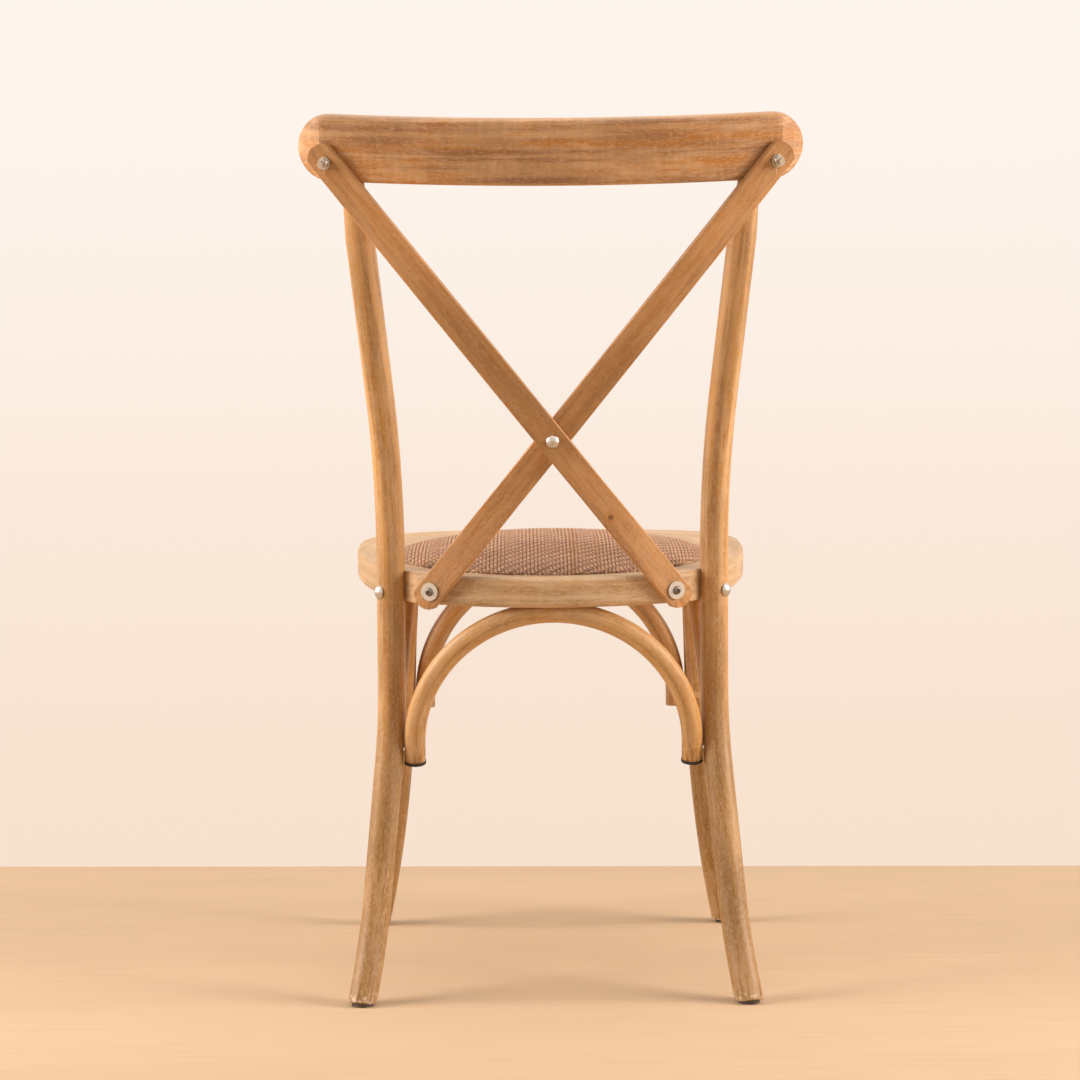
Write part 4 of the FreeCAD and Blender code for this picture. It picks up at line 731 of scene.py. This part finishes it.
@dataclass
class Underframe:
    """The four arches with their plugs, screws and end pads."""

    bends: tuple[tuple[str, Bend], ...] = (("rear_arch", REAR_ARCH), ("front_arch", FRONT_ARCH),
                                           ("side_arch_left", SIDE_ARCH),
                                           ("side_arch_right", SIDE_ARCH))
    hidden: tuple[str, ...] = ("arch_top_screws", "arch_end_screws")

    def build(self) -> None:
        """Build the arches and dress their fittings."""
        for number, (name, bend) in enumerate(self.bends):
            WoodPiece(name, RODS, bend, "rod_wood", 11.0 + number).build()
        dress("arch_plugs", RODS.material("plug_wood", 17.0, marked=False))
        dress("rear_arch_pads", RUBBER.material("pad_rubber", 1.0))
        for name in self.hidden:
            dress(name, BRIGHT.material(name + "_steel", 3.0))


@dataclass
class WovenSeat:
    """The seat ring with its board, padding and woven cover."""

    rebate_radius: float = 0.166
    gap: float = 0.0003
    rim_height: float = 0.002
    shoulder_height: float = 0.007
    shoulder_width: float = 0.015
    crown_height: float = 0.022
    slope: float = math.radians(3.4)
    panel_drop: float = 0.0069
    pitch: float = 0.0038
    strand_width: float = 0.0034
    strand_height: float = 0.0018
    lift: float = 0.0008
    tuck: float = 0.0045
    steps: int = 2
    wall_step: float = 0.001
    wall_steps: int = 7
    padding_floor: float = -0.0022
    padding_stops: tuple[float, ...] = (0.985, 0.975, 0.965, 0.955, 0.945, 0.935, 0.92, 0.905,
                                        0.885, 0.8, 0.65, 0.5, 0.35, 0.2, 0.08)
    table: list[tuple[float, float, float]] = field(default_factory=list)
    runs: list[float] = field(default_factory=list)

    def build(self) -> None:
        """Dress the ring and board, then make the padding and the cover."""
        WoodPiece("seat_ring", RING, ROUND_SEAT, "ring_wood", 21.0).build()
        dress("seat_panel", BOARD.material("board_wood", 23.0, marked=False))
        for number, name in enumerate(("rear_leg_bolts", "rear_leg_washers", "rear_leg_nuts",
                                       "seat_panel_screws")):
            dress(name, BRIGHT.material(name + "_steel", 5.0 + number))
        self.measure()
        self.make_padding()
        self.make_cover()

    def seat_frame(self) -> Matrix:
        """Place the ring's top plane.

        Returns:
            The matrix from seat coordinates, with the crown along Z, to the chair.
        """
        low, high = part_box("seat_panel")
        turn = Matrix.Rotation(-self.slope, 4, "X")
        base = (low + high) / 2 + turn.to_3x3() @ Vector((0.0, 0.0, self.panel_drop))
        return Matrix.Translation(base) @ turn

    def measure(self) -> None:
        """Tabulate the crown's profile by its length from the middle outwards."""
        outer = self.rebate_radius - self.gap
        top = [(0.0, self.crown_height)]
        middle = Vector(((outer - self.shoulder_width) / 2,
                         self.shoulder_height + 0.75 * (self.crown_height - self.shoulder_height)))
        shoulder = Vector((outer - self.shoulder_width, self.shoulder_height))
        rim = Vector((outer, self.rim_height))
        start = Vector((0.0, self.crown_height))
        crown_fall = math.atan2(2 * (start.y - shoulder.y), shoulder.x)
        edge_fall = math.atan2(shoulder.y - rim.y, rim.x - shoulder.x)
        bow = 0.5 * (rim - shoulder).length * math.tan(0.5 * (edge_fall - crown_fall))
        bulge = (rim + shoulder) / 2 + Vector((math.sin(edge_fall), math.cos(edge_fall))) * bow
        for share in range(1, 41):
            top.append(tuple(self.curve(start, middle, shoulder, share / 40)))
        for share in range(1, 21):
            top.append(tuple(self.curve(shoulder, bulge, rim, share / 20)))
        for step in range(1, self.wall_steps + 1):
            top.append((outer, self.rim_height - self.wall_step * step))
        run = 0.0
        self.table = [(0.0, *top[0])]
        for before, after in zip(top[:-1], top[1:]):
            run += math.dist(before, after)
            self.table.append((run, *after))
        self.runs = [row[0] for row in self.table]

    def curve(self, start: Vector, middle: Vector, end: Vector, share: float) -> Vector:
        """Follow the arc through three points.

        Args:
            start: First point.
            middle: Point halfway.
            end: Last point.
            share: How far along, from 0 to 1.

        Returns:
            The point on a parabola close to the arc.
        """
        control = middle * 2 - (start + end) / 2
        rest = 1 - share
        return start * rest * rest + control * 2 * rest * share + end * share * share

    def profile(self, run: float) -> tuple[float, float, float, float]:
        """Look up the crown at a length from the middle.

        Args:
            run: Length along the surface from the middle.

        Returns:
            Radius, height, and the outward normal's radial and upright parts.
        """
        spot = min(max(bisect_left(self.runs, run), 1), len(self.runs) - 1)
        before, after = self.table[spot - 1], self.table[spot]
        share = min(max((run - before[0]) / (after[0] - before[0]), 0.0), 1.0)
        radius = before[1] + (after[1] - before[1]) * share
        height = before[2] + (after[2] - before[2]) * share
        slope = Vector((after[1] - before[1], after[2] - before[2])).normalized()
        return radius, height, -slope.y, slope.x

    def make_padding(self) -> None:
        """Model the padding as a crowned disc, drawn in ring by ring from its rim."""
        clear_choice()
        drop = self.strand_height + self.lift * 1.3
        outer = self.rebate_radius - self.gap - drop
        bpy.ops.mesh.primitive_circle_add(vertices=96, radius=outer, fill_type="NGON",
                                          location=(0, 0, self.padding_floor))
        piece = bpy.context.object
        piece.name = "seat_padding"
        bpy.ops.object.transform_apply(location=True, rotation=True, scale=True)
        bpy.ops.object.mode_set(mode="EDIT")
        bpy.ops.mesh.select_all(action="SELECT")
        radius, height = outer, self.padding_floor
        for stop in self.padding_stops:
            wide, tall, out, up = self.profile(self.runs[-1] * stop)
            next_radius = wide - out * drop
            next_height = tall - up * drop
            bpy.ops.mesh.extrude_region_move(
                TRANSFORM_OT_translate={"value": (0, 0, next_height - height)})
            share = next_radius / radius
            bpy.ops.transform.resize(value=(share, share, 1.0), center_override=(0, 0, 0))
            radius, height = next_radius, next_height
        bpy.ops.mesh.select_all(action="SELECT")
        bpy.ops.mesh.remove_doubles(threshold=0.00001)
        bpy.ops.mesh.normals_make_consistent(inside=False)
        bpy.ops.object.mode_set(mode="OBJECT")
        piece.data.transform(self.seat_frame())
        bpy.ops.object.shade_smooth_by_angle(angle=math.radians(50))
        # Painted shade: the padding is dark so that the gaps between the strands read as shaded.
        piece.data.materials.append(PADDING_GAP_SHADE.material("padding_gap_shade", 2.0))
        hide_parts("seat_foam")
        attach(piece, "root")
        LOG.info("made %s", piece.name)

    def make_strand(self, length: float) -> bpy.types.Object:
        """Model one straight strand, extruded ring by ring along Y.

        Args:
            length: The strand's length.

        Returns:
            The strand, its middle at the origin.
        """
        clear_choice()
        bpy.ops.mesh.primitive_circle_add(vertices=6, radius=0.5, fill_type="NGON",
                                          location=(0, 0, 0), rotation=(math.pi / 2, 0, 0))
        strand = bpy.context.object
        strand.name = "strand"
        strand.scale = (self.strand_width, self.strand_height, 1.0)
        bpy.ops.object.transform_apply(location=True, rotation=True, scale=True)
        bpy.ops.object.mode_set(mode="EDIT")
        bpy.ops.mesh.select_all(action="SELECT")
        bpy.ops.transform.translate(value=(0, -length / 2, 0))
        step = self.pitch / self.steps
        for _ in range(int(round(length / step))):
            bpy.ops.mesh.extrude_region_move(TRANSFORM_OT_translate={"value": (0, step, 0)})
        bpy.ops.mesh.select_all(action="SELECT")
        bpy.ops.mesh.normals_make_consistent(inside=False)
        bpy.ops.object.mode_set(mode="OBJECT")
        return strand

    def over(self, first: int, second: int) -> float:
        """Say whether a lengthwise strand lies over a crosswise one.

        Args:
            first: Number of the lengthwise strand.
            second: Number of the crosswise strand.

        Returns:
            1 where it lies over, -1 where it lies under.
        """
        return 1.0 if (second - first) % 4 < 2 else -1.0

    def wave(self, strand: int, along: float, lengthwise: bool) -> float:
        """Find how high a strand rides at a place.

        Args:
            strand: The strand's number.
            along: Place along it, in pitches.
            lengthwise: True for a strand that runs front to back.

        Returns:
            Its lift from -1 to 1.
        """
        low = math.floor(along - 0.5)
        share = along - 0.5 - low
        share = share * share * (3 - 2 * share)

        def at(other: int) -> float:
            """Read the weave at one crossing."""
            return self.over(strand, other) if lengthwise else -self.over(other, strand)
        return at(low) * (1 - share) + at(low + 1) * share

    def lay(self, strand: bpy.types.Object, number: int, lengthwise: bool,
            reach: float) -> bpy.types.Mesh | None:
        """Cut a copy of the strand to its place, weave it and draw it over the crown.

        Args:
            strand: The straight strand.
            number: The strand's number, 0 at the middle.
            lengthwise: True for a strand that runs front to back.
            reach: Length of the profile that the cover takes.

        Returns:
            The laid strand's mesh, or none where there is no room.
        """
        offset = (number + 0.5) * self.pitch
        if abs(offset) > reach - self.pitch * 0.4:
            return None
        half = math.sqrt(reach * reach - offset * offset)
        mesh = strand.data.copy()
        shape = bmesh.new()
        shape.from_mesh(mesh)
        away = [vert for vert in shape.verts if abs(vert.co.y) > half]
        bmesh.ops.delete(shape, geom=away, context="VERTS")
        edges = [edge for edge in shape.edges if edge.is_boundary]
        bmesh.ops.holes_fill(shape, edges=edges, sides=8)
        tag = shape.loops.layers.uv.new(STRAND_MAP)
        base = number + (LENGTHWISE_FROM if lengthwise else CROSSWISE_FROM)
        for face in shape.faces:
            angles = [math.atan2(loop.vert.co.z * 2, loop.vert.co.x) for loop in face.loops]
            for loop, angle in zip(face.loops, angles):
                if max(angles) - min(angles) > math.pi and angle < 0:
                    angle += 2 * math.pi
                around = (angle / (2 * math.pi) + 0.5) * 0.98 * 0.5
                loop[tag].uv = (base + around + 0.01, loop.vert.co.y)
        for vert in shape.verts:
            side, along, rise = vert.co
            lift = self.wave(number, along / self.pitch, lengthwise) * self.lift
            flat = Vector((offset + side, along)) if lengthwise else Vector((along, offset + side))
            run = max(flat.length, 1e-6)
            radius, height, out, up = self.profile(run)
            bury = self.strand_height * 0.5 + self.lift
            stand = rise + lift - bury
            way = flat / run
            vert.co = Vector((way.x * (radius + out * stand), way.y * (radius + out * stand),
                              height + up * stand))
        if not lengthwise:
            bmesh.ops.reverse_faces(shape, faces=shape.faces)
        shape.to_mesh(mesh)
        shape.free()
        return mesh

    def make_cover(self) -> None:
        """Weave the cover from strands in both directions and join them into one piece."""
        reach = self.runs[-1] - self.wall_step * self.wall_steps + self.tuck
        strand = self.make_strand(2 * reach + 2 * self.pitch)
        count = int(reach / self.pitch) + 1
        laid: list[bpy.types.Object] = []
        for lengthwise in (True, False):
            for number in range(-count, count):
                mesh = self.lay(strand, number, lengthwise, reach)
                if mesh is not None:
                    piece = bpy.data.objects.new("laid_strand", mesh)
                    bpy.context.collection.objects.link(piece)
                    laid.append(piece)
        bpy.data.objects.remove(strand)
        clear_choice()
        for piece in laid:
            piece.select_set(True)
        bpy.context.view_layer.objects.active = laid[0]
        bpy.ops.object.join()
        cover = bpy.context.object
        cover.name = "woven_cover"
        cover.data.transform(self.seat_frame())
        bpy.ops.object.shade_smooth_by_angle(angle=math.radians(75))
        cover.data.materials.clear()
        cover.data.materials.append(FIBRE.material("twisted_fibre"))
        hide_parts("seat_weave")
        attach(cover, "root")
        LOG.info("made %s with %d strands", cover.name, len(laid))


@dataclass
class Studio:
    """The plain floor and wall, the lamps and the camera."""

    focal_pixels: float = 2950.0
    image_pixels: float = 1080.0
    eye: Point = (0.033, 3.1226, 0.669)
    pitch: float = math.radians(3.9)
    turn: float = math.atan(20.0 / 2950.0)
    roll: float = math.radians(0.37)
    wall: float = -0.593
    wall_turn: float = math.radians(-2.1)
    stage_width: float = 40.0
    stage_depth: float = 20.0
    floor_colour: RGB = paint(215, 191, 162)
    floor_far: RGB = paint(241, 203, 164)
    fill_colour: RGB = paint(255, 240, 226)
    fill: float = 0.21
    wall_low: RGB = paint(248, 226, 207)
    wall_high: RGB = paint(254, 245, 237)

    def build(self) -> None:
        """Set up everything round the chair."""
        self.make_stage()
        self.make_lamps()
        self.make_world()
        self.make_camera()
        bpy.context.scene.view_settings.view_transform = "Standard"

    def make_stage(self) -> None:
        """Model the table top, and beyond its edge a ground that shows the wall's tone."""
        clear_choice()
        bpy.ops.mesh.primitive_plane_add(size=1.0, location=(0, 0, 0))
        stage = bpy.context.object
        stage.name = "studio_stage"
        stage.scale = (self.stage_width, self.stage_depth, 1.0)
        bpy.ops.object.transform_apply(location=True, rotation=True, scale=True)
        bpy.ops.object.mode_set(mode="EDIT")
        bpy.ops.mesh.select_all(action="SELECT")
        bpy.ops.transform.translate(value=(0, self.stage_depth / 2 + self.wall, 0))
        bpy.ops.mesh.select_mode(type="VERT")
        bpy.ops.mesh.select_all(action="DESELECT")
        shape = bmesh.from_edit_mesh(stage.data)
        for vert in shape.verts:
            vert.select = abs(vert.co.y - self.wall) < 0.001
        shape.select_flush_mode()
        bmesh.update_edit_mesh(stage.data)
        bpy.ops.mesh.extrude_region_move(
            TRANSFORM_OT_translate={"value": (0, -self.stage_depth, 0)})
        bpy.ops.object.mode_set(mode="OBJECT")
        stage.data.materials.append(self.table_material())
        stage.data.materials.append(self.ground_material())
        for face in stage.data.polygons:
            face.material_index = 1 if face.center.y < self.wall else 0
        corner = Vector((self.eye[0], self.wall, 0.0))
        stage.data.transform(Matrix.Translation(corner) @ Matrix.Rotation(self.wall_turn, 4, "Z")
                             @ Matrix.Translation(-corner))

    def table_material(self) -> bpy.types.Material:
        """Make the pale matte table top with its faint grain.

        Returns:
            The material.
        """
        graph = SurfaceGraph("table_paint")
        cloud = graph.noise(graph.place(stretch=(0.3, 2.0, 1.0)), 3.0, 3.0)
        deeper = tuple(level * 0.95 for level in self.floor_colour)
        colour = graph.mix(graph.ramp(cloud, 0.3, 0.7), self.floor_colour, deeper)
        grain = graph.noise(graph.place(stretch=(0.5, 9.0, 1.0)), 14.0, 6.0, 0.62)
        lines = graph.times(graph.ramp(grain, 0.50, 0.66), 0.55)
        colour = graph.mix(lines, colour, tuple(level * 0.88 for level in self.floor_colour))
        graph.surface(Base_Color=colour, Roughness=0.9, Specular_IOR_Level=0.1)
        away = graph.add("VectorMath", {0: graph.place()}, operation="LENGTH").outputs["Value"]
        share = graph.times(graph.ramp(away, 0.95, 1.5), self.seen(graph))
        graph.show(share, self.floor_far)
        return graph.material

    def tone(self, graph: Graph, height: object) -> bpy.types.NodeSocket:
        """Find the wall's tone at a height, paler towards the top.

        Args:
            graph: The graph to add to.
            height: The height on the wall in metres.

        Returns:
            The tone's colour.
        """
        return graph.mix(graph.ramp(height, 0.0, 1.1), self.wall_low, self.wall_high)

    def ground_material(self) -> bpy.types.Material:
        """Make the ground beyond the table, whose tone is that of the wall it stands for.

        Returns:
            The material.
        """
        graph = SurfaceGraph("ground_paint")
        here = graph.add("SeparateXYZ", {0: graph.add("TexCoord", {}).outputs["Object"]})
        away = graph.math("SUBTRACT", self.eye[1], here.outputs[1])
        share = graph.math("DIVIDE", self.eye[1] - self.wall, away)
        height = graph.times(graph.math("SUBTRACT", 1.0, share), self.eye[2])
        graph.surface(Base_Color=self.wall_low, Roughness=0.9, Specular_IOR_Level=0.1)
        graph.show(self.seen(graph), self.tone(graph, height))
        return graph.material

    def seen(self, graph: Graph) -> bpy.types.NodeSocket:
        """Tell rays that look from rays that light.

        Args:
            graph: The graph to add to.

        Returns:
            1 for a ray that looks.
        """
        rays = graph.add("LightPath", {}).outputs
        return graph.math("MAXIMUM", rays["Is Camera Ray"],
                          graph.math("MAXIMUM", rays["Is Glossy Ray"], rays["Is Transmission Ray"]))

    def make_world(self) -> None:
        """Fill in with a weak even light that shows as the upper wall."""
        world = bpy.data.worlds.new("studio_world")
        bpy.context.scene.world = world
        world.use_nodes = True
        graph = Graph(world.node_tree)
        way = graph.add("SeparateXYZ", {0: graph.add("TexCoord", {}).outputs["Generated"]})
        rise = graph.times(way.outputs[2], self.eye[1] - self.wall)
        tone = self.tone(graph, graph.math("ADD", rise, self.eye[2]))
        shown = graph.add("Background", {"Color": tone, "Strength": 1.0})
        fill = graph.add("Background", {"Color": self.fill_colour, "Strength": self.fill})
        both = graph.add("MixShader", {0: self.seen(graph), 1: fill.outputs[0],
                                       2: shown.outputs[0]})
        graph.add("OutputWorld", {0: both.outputs[0]})

    def make_lamps(self) -> None:
        """Hang two large soft boxes at the chair's sides and one above it."""
        self.lamp("left_box", (2.3, 0.35, 1.4), (0.0, 0.0, 0.5), 1.5, 72.0, paint(255, 238, 223))
        self.lamp("right_box", (-2.3, 0.5, 1.4), (0.0, 0.0, 0.5), 1.5, 75.0, paint(255, 238, 223))
        self.lamp("top_box", (0.0, 0.1, 2.9), (0.0, -0.1, 0.4), 2.0, 23.0, paint(255, 242, 230))

    def lamp(self, name: str, place: Point, target: Point, size: float, power: float,
             colour: RGB) -> None:
        """Hang one square soft box.

        Args:
            name: The lamp's name.
            place: Where it hangs.
            target: What it faces.
            size: Its side.
            power: Its power in watts.
            colour: Its colour.
        """
        data = bpy.data.lights.new(name, "AREA")
        data.shape = "SQUARE"
        data.size = size
        data.energy = power
        data.color = colour
        light = bpy.data.objects.new(name, data)
        light.location = place
        aim = Vector(target) - Vector(place)
        light.rotation_euler = aim.to_track_quat("-Z", "Y").to_euler()
        bpy.context.collection.objects.link(light)

    def make_camera(self) -> None:
        """Set the camera as it stood for the photograph."""
        data = bpy.data.cameras.new("photo_camera")
        data.sensor_width = 36.0
        data.lens = 36.0 * self.focal_pixels / self.image_pixels
        data.clip_end = 60.0
        camera = bpy.data.objects.new("photo_camera", data)
        bpy.context.collection.objects.link(camera)
        level = math.cos(self.pitch)
        ahead = Vector((-math.sin(self.turn) * level, -math.cos(self.turn) * level,
                        -math.sin(self.pitch)))
        right = Vector((-math.cos(self.turn), math.sin(self.turn), 0.0))
        up = right.cross(ahead)
        rolled_right = right * math.cos(self.roll) - up * math.sin(self.roll)
        rolled_up = right * math.sin(self.roll) + up * math.cos(self.roll)
        turn = Matrix((rolled_right, rolled_up, -ahead)).transposed().to_4x4()
        camera.matrix_world = Matrix.Translation(self.eye) @ turn
        bpy.context.scene.camera = camera


def main() -> None:
    """Build the chair's looks in order and report each sub-assembly."""
    logging.basicConfig(level=logging.INFO, format="%(name)s: %(message)s")
    for part in (Studio(), Legs(), Back(), Underframe(), WovenSeat()):
        part.build()
        LOG.info("finished %s", type(part).__name__)


if __name__ == "__main__":
    main()
